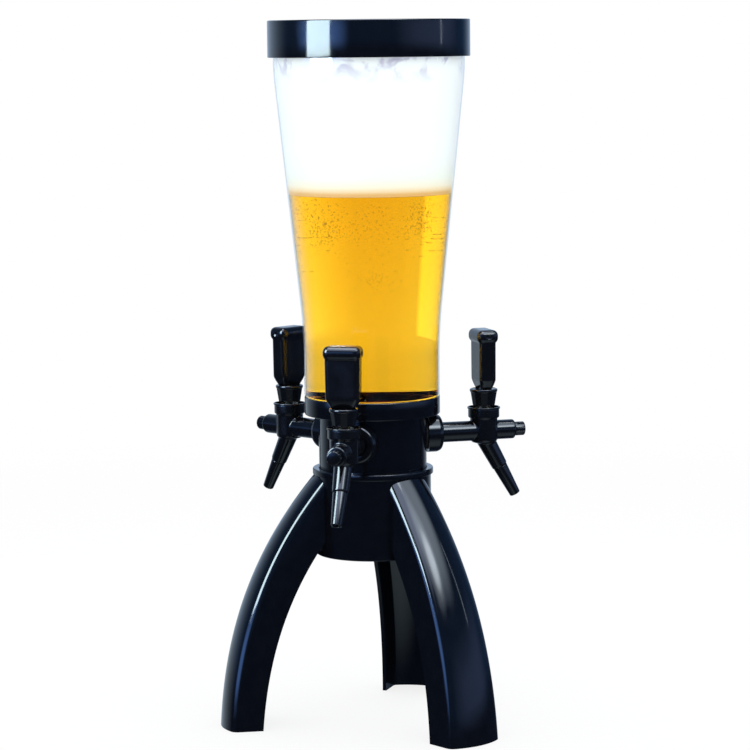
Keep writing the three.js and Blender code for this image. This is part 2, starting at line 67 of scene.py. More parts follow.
def rounded(corners, steps=5):
    """An outline through (radius, height, fillet) corners, in mm, with an arc of that radius at each."""
    outline = []
    for i, (x, z, fillet) in enumerate(corners):
        corner = Vector((x, z))
        if fillet == 0:
            outline.append(corner)
            continue
        back = (Vector(corners[i - 1][:2]) - corner).normalized()
        ahead = (Vector(corners[(i + 1) % len(corners)][:2]) - corner).normalized()
        half = back.angle(ahead) / 2
        centre = corner + (back + ahead).normalized() * (fillet / math.sin(half))
        start = corner + back * (fillet / math.tan(half)) - centre
        end = corner + ahead * (fillet / math.tan(half)) - centre
        sweep = start.angle_signed(end)
        for step in range(steps + 1):
            spoke = start.copy()
            spoke.rotate(Matrix.Rotation(-sweep * step / steps, 2))
            outline.append(centre + spoke)
    return outline


def spun(outline, facets=96):
    """A bmesh of the closed outline of (radius, height) points, in mm, spun about the Z axis."""
    bm = bmesh.new()
    points = [bm.verts.new((x * MM, 0, z * MM)) for x, z in outline]
    for here, there in zip(points, points[1:] + points[:1]):
        if here.co.x > 1e-7 or there.co.x > 1e-7:
            bm.edges.new((here, there))
    bmesh.ops.spin(bm, geom=bm.verts[:] + bm.edges[:], cent=(0, 0, 0), axis=(0, 0, 1), angle=math.tau,
                   steps=facets, use_merge=True)
    bmesh.ops.remove_doubles(bm, verts=bm.verts, dist=1e-6)
    bmesh.ops.recalc_face_normals(bm, faces=bm.faces)
    return bm


def make_piece(name, bm, material, body, replaced=(), sharp=32):
    """The bmesh as a smooth-shaded piece that rides on a body and stands for the nodes it replaces."""
    mesh = bpy.data.meshes.new(name)
    bm.to_mesh(mesh)
    mesh.polygons.foreach_set("use_smooth", [True] * len(mesh.polygons))
    mesh.set_sharp_from_angle(angle=math.radians(sharp))
    mesh.materials.append(material)
    piece = bpy.data.objects.new(name, mesh)
    bpy.context.scene.collection.objects.link(piece)
    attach(piece, body)
    if replaced:
        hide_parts(*replaced)
    return piece


def linear(colour):
    """The linear RGBA of an sRGB hex colour."""
    channels = [int(colour[i:i + 2], 16) / 255 for i in (0, 2, 4)]
    return [c / 12.92 if c <= 0.04045 else ((c + 0.055) / 1.055) ** 2.4 for c in channels] + [1.0]


def start_material(name):
    """A named material with nothing in its node tree but the output."""
    material = bpy.data.materials.new(name)
    material.use_nodes = True
    material.node_tree.nodes.clear()
    return material, material.node_tree, material.node_tree.nodes.new("ShaderNodeOutputMaterial")


def add_node(tree, kind, settings=None, links=None):
    """One node with its settings, by socket or property name, and what its inputs are linked to."""
    node = tree.nodes.new(kind)
    for name, value in (settings or {}).items():
        if isinstance(name, int) or name in node.inputs:
            node.inputs[name].default_value = value
        else:
            setattr(node, name, value)
    for name, socket in (links or {}).items():
        tree.links.new(socket, node.inputs[name])
    return node


def gloss_black_abs():
    """Gloss ABS from a polished mould: deep blue-black, a sharp mirror, and the faint sinks and swells that
    make long reflections wander."""
    material, tree, output = start_material("gloss_black_abs")
    place = add_node(tree, "ShaderNodeTexCoord").outputs["Object"]
    sinks = add_node(tree, "ShaderNodeTexNoise", {"Scale": 1 / ABS_SINK_WAVE, "Detail": 1.0},
                     {"Vector": place})
    smears = add_node(tree, "ShaderNodeTexNoise", {"Scale": 1 / ABS_WIPE_MARK, "Detail": 3.0},
                      {"Vector": place})
    gloss = add_node(tree, "ShaderNodeMapRange",
                     {"From Min": 0.35, "From Max": 0.7, "To Min": 0.07, "To Max": 0.13},
                     {"Value": smears.outputs["Fac"]})
    bump = add_node(tree, "ShaderNodeBump", {"Strength": 0.4, "Distance": 0.25 * MM},
                    {"Height": sinks.outputs["Fac"]})
    tint = add_node(tree, "ShaderNodeMix", {"data_type": "RGBA", "A": linear("05060A"),
                                            "B": linear("090B12")},
                    {"Factor": smears.outputs["Fac"]})
    shader = add_node(tree, "ShaderNodeBsdfPrincipled", {"IOR": 1.5},
                      {"Base Color": tint.outputs["Result"], "Roughness": gloss.outputs["Result"],
                       "Normal": bump.outputs["Normal"]})
    tree.links.new(shader.outputs["BSDF"], output.inputs["Surface"])
    return material


black_abs = gloss_black_abs()
lid_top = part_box("lid")[1].z / MM
lid_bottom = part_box("lid")[0].z / MM
lid_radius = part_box("lid")[1].x / MM
mouth_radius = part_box("tank")[1].x / MM
lid_under = lid_top - LID_PLATE
plug_radius = mouth_radius - TANK_WALL - RIM_CLEARANCE
lid_outline = rounded([
    (0, lid_top, 0), (lid_radius, lid_top, 0.9), (lid_radius, lid_bottom, 0.5),
    (lid_radius - LID_WALL, lid_bottom, 0.5), (lid_radius - LID_WALL, lid_under, 0.8),
    (plug_radius, lid_under, 0.6), (plug_radius, lid_under - LID_PLUG_DEPTH, 0.7),
    (plug_radius - LID_PLUG_WALL, lid_under - LID_PLUG_DEPTH, 0.7),
    (plug_radius - LID_PLUG_WALL, lid_under, 0.8), (0, lid_under, 0),
])
make_piece("lid_cap", spun(lid_outline, LID_FACETS), black_abs, "lid", ["lid"])

# ------------------------------------------------------------------ tank
# A tall flared vessel blown and turned from clear polycarbonate, 2.5 mm thick. It is straight at its foot,
# opens in a long cone, and has a straight rim. A thick shoulder sits on the collar, and its neck screws in.
TANK_FACETS = 160
NECK_WALL = 4.0
SHOULDER = 3.5
COLLAR_THREAD = 4.0  # from the collar's outer face to the neck's
SEAT_GAP = 0.3
FOOT_STRAIGHT = 27.0
FOOT_BEND = 23.0
RIM_STRAIGHT = 34.5
RIM_BEND = 10.6
PC_TINT = "FDFEFE"
PC_EDGE = "E2EAED"


def bend(start, corner, end, steps=10):
    """Points along the curve that leaves start towards corner and arrives at end."""
    points = []
    for step in range(steps + 1):
        t = step / steps
        points.append(start * (1 - t) ** 2 + corner * 2 * t * (1 - t) + end * t ** 2)
    return points


def tank_side(inset, lowest, highest):
    """The tank's outer outline from lowest to highest, moved in by inset, in mm."""
    foot = collar_radius - inset
    mouth = mouth_radius - inset
    cone_start = shoulder_bottom + FOOT_STRAIGHT + FOOT_BEND
    cone_end = tank_top - RIM_STRAIGHT
    slope = (mouth - foot) / (cone_end - cone_start)
    points = [Vector((foot, shoulder_bottom))]
    points += bend(Vector((foot, cone_start - FOOT_BEND)), Vector((foot, cone_start)),
                   Vector((foot + FOOT_BEND * slope, cone_start + FOOT_BEND)))
    points += bend(Vector((mouth - RIM_BEND * slope, cone_end - RIM_BEND)), Vector((mouth, cone_end)),
                   Vector((mouth, cone_end + RIM_BEND)))
    points.append(Vector((mouth, tank_top)))
    return clipped(points, lowest, highest)


def clipped(points, lowest, highest):
    """The rising run of points between two heights, with a new point where it crosses each."""
    run = []
    for here, there in zip(points, points[1:]):
        for height in (lowest, highest):
            if here.y < height < there.y:
                run.append(here.lerp(there, (height - here.y) / (there.y - here.y)))
        if lowest <= there.y <= highest:
            run.append(there)
    if lowest <= points[0].y:
        run.insert(0, points[0])
    return sorted(run, key=lambda point: point.y)


def clear_polycarbonate():
    """Polished polycarbonate: it passes nearly everything, mirrors softly by its IOR of 1.58, and greys
    where the eye runs along the wall."""
    material, tree, output = start_material("clear_polycarbonate")
    facing = add_node(tree, "ShaderNodeLayerWeight", {"Blend": 0.08})
    through = add_node(tree, "ShaderNodeMix", {"data_type": "RGBA", "A": linear(PC_TINT),
                                               "B": linear(PC_EDGE)},
                       {"Factor": facing.outputs["Facing"]})
    clear = add_node(tree, "ShaderNodeBsdfTransparent", {}, {"Color": through.outputs["Result"]})
    mirror = add_node(tree, "ShaderNodeBsdfGlossy", {"Color": (1, 1, 1, 1), "Roughness": 0.04})
    side = add_node(tree, "ShaderNodeNewGeometry").outputs["Backfacing"]
    index = add_node(tree, "ShaderNodeMapRange", {"To Min": 1.58, "To Max": 1 / 1.58}, {"Value": side})
    share = add_node(tree, "ShaderNodeFresnel", {}, {"IOR": index.outputs["Result"]})
    capped = add_node(tree, "ShaderNodeMath", {"operation": "MINIMUM", 1: 0.30}, {0: share.outputs["Fac"]})
    mix = add_node(tree, "ShaderNodeMixShader", {}, {0: capped.outputs["Value"], 1: clear.outputs["BSDF"],
                                                     2: mirror.outputs["BSDF"]})
    tree.links.new(mix.outputs["Shader"], output.inputs["Surface"])
    return material


def wetted_polycarbonate():
    """The same wall where beer or foam lies on it: with liquid behind it the surface hardly mirrors."""
    material, tree, output = start_material("wetted_polycarbonate")
    clear = add_node(tree, "ShaderNodeBsdfTransparent", {"Color": linear("FCFEFE")})
    tree.links.new(clear.outputs["BSDF"], output.inputs["Surface"])
    return material


tank_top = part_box("tank")[1].z / MM
neck_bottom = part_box("tank")[0].z / MM
collar_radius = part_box("tap_housing")[1].x / MM
collar_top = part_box("tap_housing")[1].z / MM
shoulder_bottom = collar_top + SEAT_GAP
floor_top = shoulder_bottom + SHOULDER
neck_radius = collar_radius - COLLAR_THREAD
neck_inner = neck_radius - NECK_WALL
tank_inside = tank_side(TANK_WALL, floor_top + 2, tank_top)
tank_outline = rounded([(neck_inner, neck_bottom, 0.5), (neck_radius, neck_bottom, 0.5),
                        (neck_radius, shoulder_bottom, 0), (collar_radius, shoulder_bottom, 0.3)])
tank_outline += tank_side(0, shoulder_bottom + 1, tank_top - 1)
tank_outline += rounded([(mouth_radius, tank_top, 0), (mouth_radius - TANK_WALL, tank_top, 0)])
tank_outline += list(reversed(tank_inside))[1:]
tank_outline += [Vector((collar_radius - TANK_WALL - 2, floor_top)), Vector((neck_inner, floor_top - 1))]
tank_wall = make_piece("tank_wall", spun(tank_outline, TANK_FACETS), clear_polycarbonate(),
                       "tank", ["tank"])
tank_wall.data.materials.append(wetted_polycarbonate())
for face in tank_wall.data.polygons:
    outward = Vector((face.center.x, face.center.y, 0)).normalized().dot(face.normal)
    if outward < 0 and face.center.z < lid_bottom * MM:
        face.material_index = 1

# ------------------------------------------------------------------ beer
# Clear golden lager, from the tap well up through the neck to the fill line. The wall magnifies it sideways,
# so it is drawn out to just under the wall's outer face, where the eye sees it end.
FILL_LINE = 416.0
WALL_LENS = 1.0  # how far inside the wall's outer face the beer seems to end
WELL_GAP = 0.2
LAGER_IOR = 1.343
LAGER_PASSED = (0.955, 0.808, 0.02)  # what of each colour is not absorbed, at this strength per metre
LAGER_STRENGTH = 44.0
BUBBLE_FAINTNESS = 0.5  # how much of a bubble's outline the eye loses: the real ones are finer still


def clear_lager():
    """Filtered lager: nearly colourless at its thin edges and deep amber through its middle, because it takes
    the blue out of the light by the length of its way through."""
    material, tree, output = start_material("clear_lager")
    skin = add_node(tree, "ShaderNodeBsdfPrincipled", {"Base Color": (1, 1, 1, 1), "Roughness": 0.0,
                                                       "IOR": LAGER_IOR, "Transmission Weight": 1.0})
    bubble = add_node(tree, "ShaderNodeAttribute", {"attribute_name": "bubble"})
    faint = add_node(tree, "ShaderNodeMapRange", {"To Max": BUBBLE_FAINTNESS},
                     {"Value": bubble.outputs["Fac"]})
    clear = add_node(tree, "ShaderNodeBsdfTransparent")
    shader = add_node(tree, "ShaderNodeMixShader", {}, {0: faint.outputs["Result"], 1: skin.outputs["BSDF"],
                                                        2: clear.outputs["BSDF"]})
    depth = add_node(tree, "ShaderNodeVolumeAbsorption",
                     {"Color": (*LAGER_PASSED, 1), "Density": LAGER_STRENGTH})
    tree.links.new(shader.outputs["Shader"], output.inputs["Surface"])
    tree.links.new(depth.outputs["Volume"], output.inputs["Volume"])
    return material


housing_radius = 42.2
housing_wall = 3.0
housing_floor = 6.0
housing_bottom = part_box("tap_housing")[0].z / MM
well_radius = housing_radius - housing_wall - WELL_GAP
gasket_low, gasket_high = (corner.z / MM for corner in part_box("tank_gasket"))
beer_outline = [Vector(point) for point in (
    (0, housing_bottom + housing_floor + WELL_GAP), (well_radius, housing_bottom + housing_floor + WELL_GAP),
    (well_radius, gasket_low - WELL_GAP), (neck_inner - WELL_GAP, gasket_high + 1),
    (neck_inner - WELL_GAP, shoulder_bottom), (collar_radius - WALL_LENS, shoulder_bottom),
)]
beer_outline += tank_side(WALL_LENS, shoulder_bottom + 0.5, FILL_LINE)
beer_outline.append(Vector((0, FILL_LINE)))
beer_bmesh = spun(beer_outline, TANK_FACETS)

# Bubbles are the beer's own hollows: small spheres of air whose faces point inwards, gathered near the wall in
# loose clusters under the fill line, with a few stragglers lower down.
BUBBLE_CLUSTERS = [  # turn from the front in degrees, height, spread round and spread up in mm, how many
    (-24, 392, 17, 17, 260), (54, 398, 15, 14, 220), (18, 352, 16, 10, 70), (5, 396, 60, 14, 170),
    (180, 385, 70, 24, 160),
]
STRAGGLERS = 60
random.seed(31)
bubble_mark = beer_bmesh.verts.layers.float.new("bubble")


def add_bubble(bm, turn, height, depth, size):
    """One hollow of the given diameter, depth inside the wall, in mm and degrees from the front."""
    side = tank_side(0, height, tank_top)[0].x - depth
    angle = math.radians(turn - 90)
    middle = Matrix.Translation((side * math.cos(angle) * MM, side * math.sin(angle) * MM, height * MM))
    made = bmesh.ops.create_icosphere(bm, subdivisions=2, radius=size / 2 * MM, matrix=middle)
    for vert in made["verts"]:
        vert[bubble_mark] = 1.0
    faces = {face for vert in made["verts"] for face in vert.link_faces}
    bmesh.ops.reverse_faces(bm, faces=list(faces))


for turn, height, around, up, count in BUBBLE_CLUSTERS:
    for _ in range(count):
        sideways = random.gauss(0, around / 2)
        level = min(random.gauss(height, up / 2), FILL_LINE - 2.5)
        add_bubble(beer_bmesh, turn + math.degrees(sideways / 60), level, random.uniform(1.6, 4.5),
                   random.uniform(0.5, 1.3))
for _ in range(STRAGGLERS):
    add_bubble(beer_bmesh, random.uniform(0, 360), random.uniform(270, FILL_LINE - 4),
               random.uniform(1.6, 12),
               random.uniform(0.4, 0.8))
beer = make_piece("beer", beer_bmesh, clear_lager(), "tank")
beer.visible_shadow = False

# ------------------------------------------------------------------ foam
# The head: a dense white foam that fills the tank from the beer to just under the lid. It is creamy where it
# drains into the beer, and its top is lumpy, with gaps between the lumps.
FOAM_TOP = 530.0
FOAM_RINGS = 48
FOAM_LUMP = 2.6
FOAM_CELL = 1.3 * MM  # the small bubbles that can still be told apart
FOAM_SHADE_LEVEL = 520.0  # up here the foam is painted lavender-grey in blotchy patches: painted shade for the shaded gaps under the lid
FOAM_SHADE_BLOTCH = 16 * MM


def beer_foam():
    """Fine wet foam: matt white that lets light in a little way, pitted with small bubbles, and cream towards
    the beer it stands on, with blotches of painted lavender-grey shade just under the lid."""
    material, tree, output = start_material("beer_foam")
    place = add_node(tree, "ShaderNodeTexCoord").outputs["Object"]
    height = add_node(tree, "ShaderNodeSeparateXYZ", {}, {"Vector": place}).outputs["Z"]
    drain = add_node(tree, "ShaderNodeMapRange",
                     {"From Min": FILL_LINE * MM, "From Max": (FILL_LINE + 34) * MM},
                     {"Value": height})
    blend = add_node(tree, "ShaderNodeValToRGB", {}, {"Fac": drain.outputs["Result"]})
    ramp = blend.color_ramp
    ramp.elements[0].position = 0.06
    ramp.elements[0].color = linear("E6B66C")
    ramp.elements[1].color = linear("F8FDFD")
    ramp.elements.new(0.12).color = linear("F2D6A4")
    ramp.elements.new(0.22).color = linear("F8EFD8")
    ramp.elements.new(0.4).color = linear("F3F6EB")
    # Painted shade: just under the lid, blotchy patches of the foam are mixed to lavender-grey for the shade in
    # the gaps there.
    near_lid = add_node(tree, "ShaderNodeMapRange",
                        {"From Min": (FOAM_SHADE_LEVEL - 20) * MM, "From Max": FOAM_SHADE_LEVEL * MM},
                        {"Value": height})
    blotch = add_node(tree, "ShaderNodeTexNoise",
                      {"Scale": 1 / FOAM_SHADE_BLOTCH, "Detail": 3.0, "Distortion": 0.6},
                      {"Vector": place})
    shade_patches = add_node(tree, "ShaderNodeMapRange", {"From Min": 0.5, "From Max": 0.62},
                    {"Value": blotch.outputs["Fac"]})
    under_top = add_node(tree, "ShaderNodeMapRange",
                         {"From Min": (FOAM_SHADE_LEVEL + 3) * MM, "From Max": FOAM_SHADE_LEVEL * MM},
                         {"Value": height})
    patchy = add_node(tree, "ShaderNodeMath", {"operation": "MULTIPLY"},
                      {0: near_lid.outputs["Result"], 1: shade_patches.outputs["Result"]})
    share = add_node(tree, "ShaderNodeMath", {"operation": "MULTIPLY"},
                     {0: patchy.outputs["Value"], 1: under_top.outputs["Result"]})
    painted_shade_mix = add_node(tree, "ShaderNodeMix", {"data_type": "RGBA", "B": linear("C4C2D6")},
                       {"Factor": share.outputs["Value"], "A": blend.outputs["Color"]})
    cells = add_node(tree, "ShaderNodeTexVoronoi", {"Scale": 1 / FOAM_CELL}, {"Vector": place})
    pits = add_node(tree, "ShaderNodeBump", {"Strength": 0.12, "Distance": 0.3 * MM},
                    {"Height": cells.outputs["Distance"]})
    shader = add_node(tree, "ShaderNodeBsdfPrincipled", {"Roughness": 0.75, "Subsurface Weight": 0.35,
                                                         "Subsurface Radius": (0.004, 0.004, 0.004)},
                      {"Base Color": painted_shade_mix.outputs["Result"], "Normal": pits.outputs["Normal"]})
    tree.links.new(shader.outputs["BSDF"], output.inputs["Surface"])
    return material


foam_foot = tank_side(WALL_LENS, FILL_LINE, tank_top)[0].x
foam_outline = [Vector((0, FILL_LINE + 0.2)), Vector((foam_foot, FILL_LINE + 0.2))]
foam_outline += tank_side(WALL_LENS + 0.1, FILL_LINE + 1, FOAM_TOP)
foam_outline += [Vector((mouth_radius * (1 - i / FOAM_RINGS), FOAM_TOP)) for i in range(1, FOAM_RINGS + 1)]
foam_bmesh = spun(foam_outline, TANK_FACETS)
for vert in foam_bmesh.verts:
    if vert.co.z > (FOAM_TOP - 1) * MM:
        x, y = vert.co.x / MM, vert.co.y / MM
        lump = math.sin(x / 7.1 + 0.6) * math.cos(y / 8.3) + 0.7 * math.sin(y / 4.6 + x / 11 + 1.4)
        lump += 0.45 * math.sin(x / 3.1) * math.sin(y / 2.9 + 0.8)
        vert.co.z += FOAM_LUMP * MM * lump
make_piece("foam", foam_bmesh, beer_foam(), "tank", sharp=60)

# ------------------------------------------------------------------ tap housing
# A cup of gloss black ABS with a wide collar, moulded in one. The tank screws into the collar, the three taps
# pass through the cup's wall, and the drink stands in it up to their shanks.
TURNED_FACETS = 128
BARREL_RADIUS = 8.0
HOLE_CLEARANCE = 0.3


def baked(piece):
    """A new mesh of the piece with its modifiers applied."""
    graph = bpy.context.evaluated_depsgraph_get()
    return bpy.data.meshes.new_from_object(piece.evaluated_get(graph))


def carved(body, tools, operation="DIFFERENCE"):
    """The bmesh body after each bmesh tool is cut out of it, joined on, or kept in common."""
    solids = []
    for index, bm in enumerate([body, *tools]):
        mesh = bpy.data.meshes.new(f"carving_{index}")
        bm.to_mesh(mesh)
        bm.free()
        solids.append(bpy.data.objects.new(f"carving_{index}", mesh))
        bpy.context.scene.collection.objects.link(solids[-1])
    for tool in solids[1:]:
        step = solids[0].modifiers.new(tool.name, "BOOLEAN")
        step.operation = operation
        step.solver = "EXACT"
        step.object = tool
    result = bmesh.new()
    result.from_mesh(baked(solids[0]))
    for solid in solids:
        bpy.data.objects.remove(solid)
    return result


def turned_to(bm, turn=0.0, tilt=0.0, move=(0, 0, 0)):
    """The bmesh tilted about Y, moved, in mm, then turned about Z, in radians."""
    matrix = Matrix.Rotation(turn, 4, "Z") @ Matrix.Translation(Vector(move) * MM)
    matrix = matrix @ Matrix.Rotation(tilt, 4, "Y")
    bmesh.ops.transform(bm, matrix=matrix, verts=bm.verts)
    return bm


def rod(radius, low, high, facets=64, edge=0.0):
    """A solid round rod about Z."""
    return spun(rounded([(0, low, 0), (radius, low, edge), (radius, high, edge), (0, high, 0)]), facets)


taps = {}
for joint in frame["joints"]:
    if joint["name"].endswith("_lever_pull"):
        taps[joint["name"].split("_")[0]] = math.atan2(joint["pos_m"][1], joint["pos_m"][0])
        lever_pivot = joint["pos_m"][2] / MM
        tap_reach = math.hypot(*joint["pos_m"][:2]) / MM
LEVER_ARM = 15.0  # from the barrel's axis up to the lever's ball
COLLAR_HEIGHT = 13.9
THREAD_LEDGE = 3.1  # how far the ledge inside the collar lies over the collar's bottom
barrel_axis = lever_pivot - LEVER_ARM
collar_bottom = collar_top - COLLAR_HEIGHT
collar_ledge = collar_bottom + THREAD_LEDGE
housing_inner = housing_radius - housing_wall
housing_outline = rounded([
    (0, housing_bottom, 0), (housing_radius, housing_bottom, 0.8), (housing_radius, collar_bottom, 0.5),
    (collar_radius, collar_bottom, 1.2), (collar_radius, collar_top, 0.7),
    (neck_radius + 0.5, collar_top, 0.5),
    (neck_radius + 0.5, collar_ledge, 0.3), (housing_inner, collar_ledge, 0.5),
    (housing_inner, housing_bottom + housing_floor, 1.5), (0, housing_bottom + housing_floor, 0),
])
tap_holes = [turned_to(rod(BARREL_RADIUS + HOLE_CLEARANCE, housing_inner - 4, housing_radius + 4), turn,
                       math.pi / 2,
                       (0, 0, barrel_axis)) for turn in taps.values()]
make_piece("housing", carved(spun(housing_outline, TURNED_FACETS), tap_holes), black_abs,
           "tower",
           ["tap_housing"])

# ------------------------------------------------------------------ hub
# A moulded ABS sleeve with a low rim round its top. The housing stands on the ledge inside it, and the legs are
# screwed to it from within.
HUB_WALL = 3.0
HUB_RIM = 1.8
HUB_RIM_HEIGHT = 4.7
HUB_LEDGE = 3.0
HUB_LEDGE_WIDTH = 11.5
SCREW_HOLE = 1.9
hub_bottom, hub_top = (corner.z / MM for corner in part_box("hub"))
hub_inner = housing_radius + 0.3
hub_radius = hub_inner + HUB_WALL
hub_ledge_top = housing_bottom - 0.3
hub_ledge_inner = hub_inner - HUB_LEDGE_WIDTH
hub_outline = rounded([
    (hub_radius, hub_bottom, 0.8), (hub_radius, hub_top - HUB_RIM_HEIGHT, 0.4),
    (hub_radius + HUB_RIM, hub_top - HUB_RIM_HEIGHT, 0.6), (hub_radius + HUB_RIM, hub_top, 0.8),
    (hub_inner, hub_top, 0.4), (hub_inner, hub_ledge_top, 0.4), (hub_ledge_inner, hub_ledge_top, 0.4),
    (hub_ledge_inner, hub_ledge_top - HUB_LEDGE, 0.4), (hub_inner, hub_ledge_top - HUB_LEDGE, 0.6),
    (hub_inner, hub_bottom, 0.4),
])
legs = {}
for name in ("right", "rear", "left"):
    low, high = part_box(f"leg_screw_{name}")
    legs[name] = math.atan2(low.y + high.y, low.x + high.x)
leg_screw_height = (low.z + high.z) / 2 / MM
housing_screw_spots = []
for index in (1, 2, 3):
    low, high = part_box(f"housing_screw_{index}")
    housing_screw_spots.append(((low.x + high.x) / 2 / MM, (low.y + high.y) / 2 / MM))
screw_holes = [turned_to(rod(SCREW_HOLE, hub_inner - 2, hub_radius + 2, 24), turn, math.pi / 2,
                         (0, 0, leg_screw_height)) for turn in legs.values()]
screw_holes += [turned_to(rod(SCREW_HOLE, hub_ledge_top - HUB_LEDGE - 1, hub_ledge_top + 1, 24), 0, 0,
                          (x, y, 0))
                for x, y in housing_screw_spots]
make_piece("hub_sleeve", carved(spun(hub_outline, TURNED_FACETS), screw_holes), black_abs,
           "tower",
           ["hub"])

# ------------------------------------------------------------------ legs
# Three deep channels of gloss black ABS, open towards the tower and at the foot. Each leaves the hub under its
# rim, sweeps out and down, and widens to its foot. A web inside its top lies against the hub for the screw.
LEG_REACH = 123.0
LEG_TOP_WIDTH = 18.6  # half widths
LEG_FOOT_WIDTH = 25.5
LEG_TOP_DEPTH = 35.5
LEG_FOOT_DEPTH = 30.0
LEG_CROWN = 7.0
LEG_CORNER = 6.2
LEG_WALL = 3.0
LEG_WEB = 3.0
LEG_STATIONS = 30
LEG_BEND = ((0.6, 0.276), (0.944, 0.583))  # the sweep's two guide points, as shares of its way out and down


def leg_section(half_width, depth, inset):
    """Half way round a crowned channel: (sideways, depth) from the middle of its outer face, in mm."""
    crown = (half_width ** 2 + LEG_CROWN ** 2) / (2 * LEG_CROWN)
    side = half_width - LEG_CORNER
    level = crown - math.sqrt((crown - LEG_CORNER) ** 2 - side ** 2)
    meet = math.asin(side / (crown - LEG_CORNER))
    half = [(half_width - inset, depth)]
    for step in range(7):
        angle = math.pi / 2 + (meet - math.pi / 2) * step / 6
        reach = LEG_CORNER - inset
        half.append((side + reach * math.sin(angle), level - reach * math.cos(angle)))
    for step in range(1, 9):
        angle = meet * (1 - step / 8)
        reach = crown - inset
        half.append((reach * math.sin(angle), crown - reach * math.cos(angle)))
    return half + [(-y, d) for y, d in reversed(half[:-1])]


def leg_sweep(inset, extra_depth):
    """The leg's outer form, or its hollow when inset, as a closed solid swept from the hub past the floor."""
    start = Vector((hub_radius - 1.5, hub_top - 1.6))
    span = Vector((LEG_REACH - start.x, -start.y))
    first, second = (start + Vector((span.x * x, span.y * z)) for x, z in LEG_BEND)
    end = Vector((LEG_REACH, 0))
    bm = bmesh.new()
    ring = []
    for station in range(LEG_STATIONS + 2):
        t = min(station / LEG_STATIONS, 1)
        point = (start * (1 - t) ** 3 + first * 3 * t * (1 - t) ** 2 + second * 3 * t ** 2 * (1 - t)
                 + end * t ** 3)
        along = ((first - start) * (1 - t) ** 2 + (second - first) * 2 * t * (1 - t) + (end - second) * t ** 2)
        along.normalize()
        if station > LEG_STATIONS:
            point = point + along * 6
        width = LEG_TOP_WIDTH + (LEG_FOOT_WIDTH - LEG_TOP_WIDTH) * t
        depth = LEG_TOP_DEPTH + (LEG_FOOT_DEPTH - LEG_TOP_DEPTH) * t + extra_depth
        section = [Vector((point.x + along.y * d, y, point.y - along.x * d)) * MM
                   for y, d in leg_section(width, depth, inset)]
        if not ring:
            ring = [bm.verts.new(place) for place in section]
            bm.faces.new(ring)
            continue
        edges = [bm.edges.get((a, b)) for a, b in zip(ring, ring[1:] + ring[:1])]
        grown = bmesh.ops.extrude_edge_only(bm, edges=edges)["geom"]
        partner = {}
        for edge in (item for item in grown if isinstance(item, bmesh.types.BMEdge)):
            for vert in edge.verts:
                for link in vert.link_edges:
                    other = link.other_vert(vert)
                    if other in ring:
                        partner[other] = vert
        ring = [partner[vert] for vert in ring]
        for vert, place in zip(ring, section):
            vert.co = place
    bm.faces.new(ring)
    bmesh.ops.recalc_face_normals(bm, faces=bm.faces)
    return bm


def leg_solid():
    """A leg along +X: the outer form less its hollow, cut to the hub, the rim and the floor."""
    touch = hub_radius + 0.3
    behind_web = rod(touch + LEG_WEB, hub_bottom + 0.3, hub_top + 40, TURNED_FACETS)
    hollow = carved(leg_sweep(LEG_WALL, 12), [behind_web])
    shell = carved(leg_sweep(0, 0), [hollow, rod(touch, -60, hub_top + 60, TURNED_FACETS)])
    for height, side in ((0, -1), (hub_top - HUB_RIM_HEIGHT - 0.3, 1)):
        cut = bmesh.ops.bisect_plane(shell, geom=shell.verts[:] + shell.edges[:] + shell.faces[:],
                                     plane_co=(0, 0, height * MM), plane_no=(0, 0, side), clear_outer=True)
        rim = [item for item in cut["geom_cut"] if isinstance(item, bmesh.types.BMEdge)]
        bmesh.ops.holes_fill(shell, edges=rim)
    pilot = turned_to(rod(SCREW_HOLE, 0, touch + LEG_WEB + 2, 24), 0, math.pi / 2, (0, 0, leg_screw_height))
    return carved(shell, [pilot])


leg_shape = leg_solid()
for name, turn in legs.items():
    leg = make_piece(f"leg_channel_{name}", turned_to(leg_shape.copy(), turn), black_abs,
                     "tower",
                     [f"leg_{name}"])
    edge = leg.modifiers.new("moulded edges", "BEVEL")
    edge.width = 0.5 * MM
    edge.segments = 2
    edge.limit_method = "ANGLE"
    edge.angle_limit = math.radians(50)
    edge.harden_normals = True

# ------------------------------------------------------------------ screws
# Stainless pan-head screws with a cross recess, cold headed and thread rolled. Three hold the legs from inside
# the hub, and three hold the housing down on the hub's ledge.
SCREW_SHANK = 1.6
SCREW_HEAD = 3.4
SCREW_HEAD_HEIGHT = 2.2
THREAD_PITCH = 1.1
STEEL_GRAIN = 0.5 * MM


def stainless_steel():
    """Stainless steel, turned or headed: bright grey with fine tool marks that roughen its mirror."""
    material, tree, output = start_material("stainless_steel")
    place = add_node(tree, "ShaderNodeTexCoord").outputs["Object"]
    grain = add_node(tree, "ShaderNodeTexNoise", {"Scale": 1 / STEEL_GRAIN, "Detail": 2.0}, {"Vector": place})
    rough = add_node(tree, "ShaderNodeMapRange", {"To Min": 0.22, "To Max": 0.38},
                     {"Value": grain.outputs["Fac"]})
    shader = add_node(tree, "ShaderNodeBsdfPrincipled", {"Base Color": linear("C9CBCC"), "Metallic": 1.0},
                      {"Roughness": rough.outputs["Result"]})
    tree.links.new(shader.outputs["BSDF"], output.inputs["Surface"])
    return material


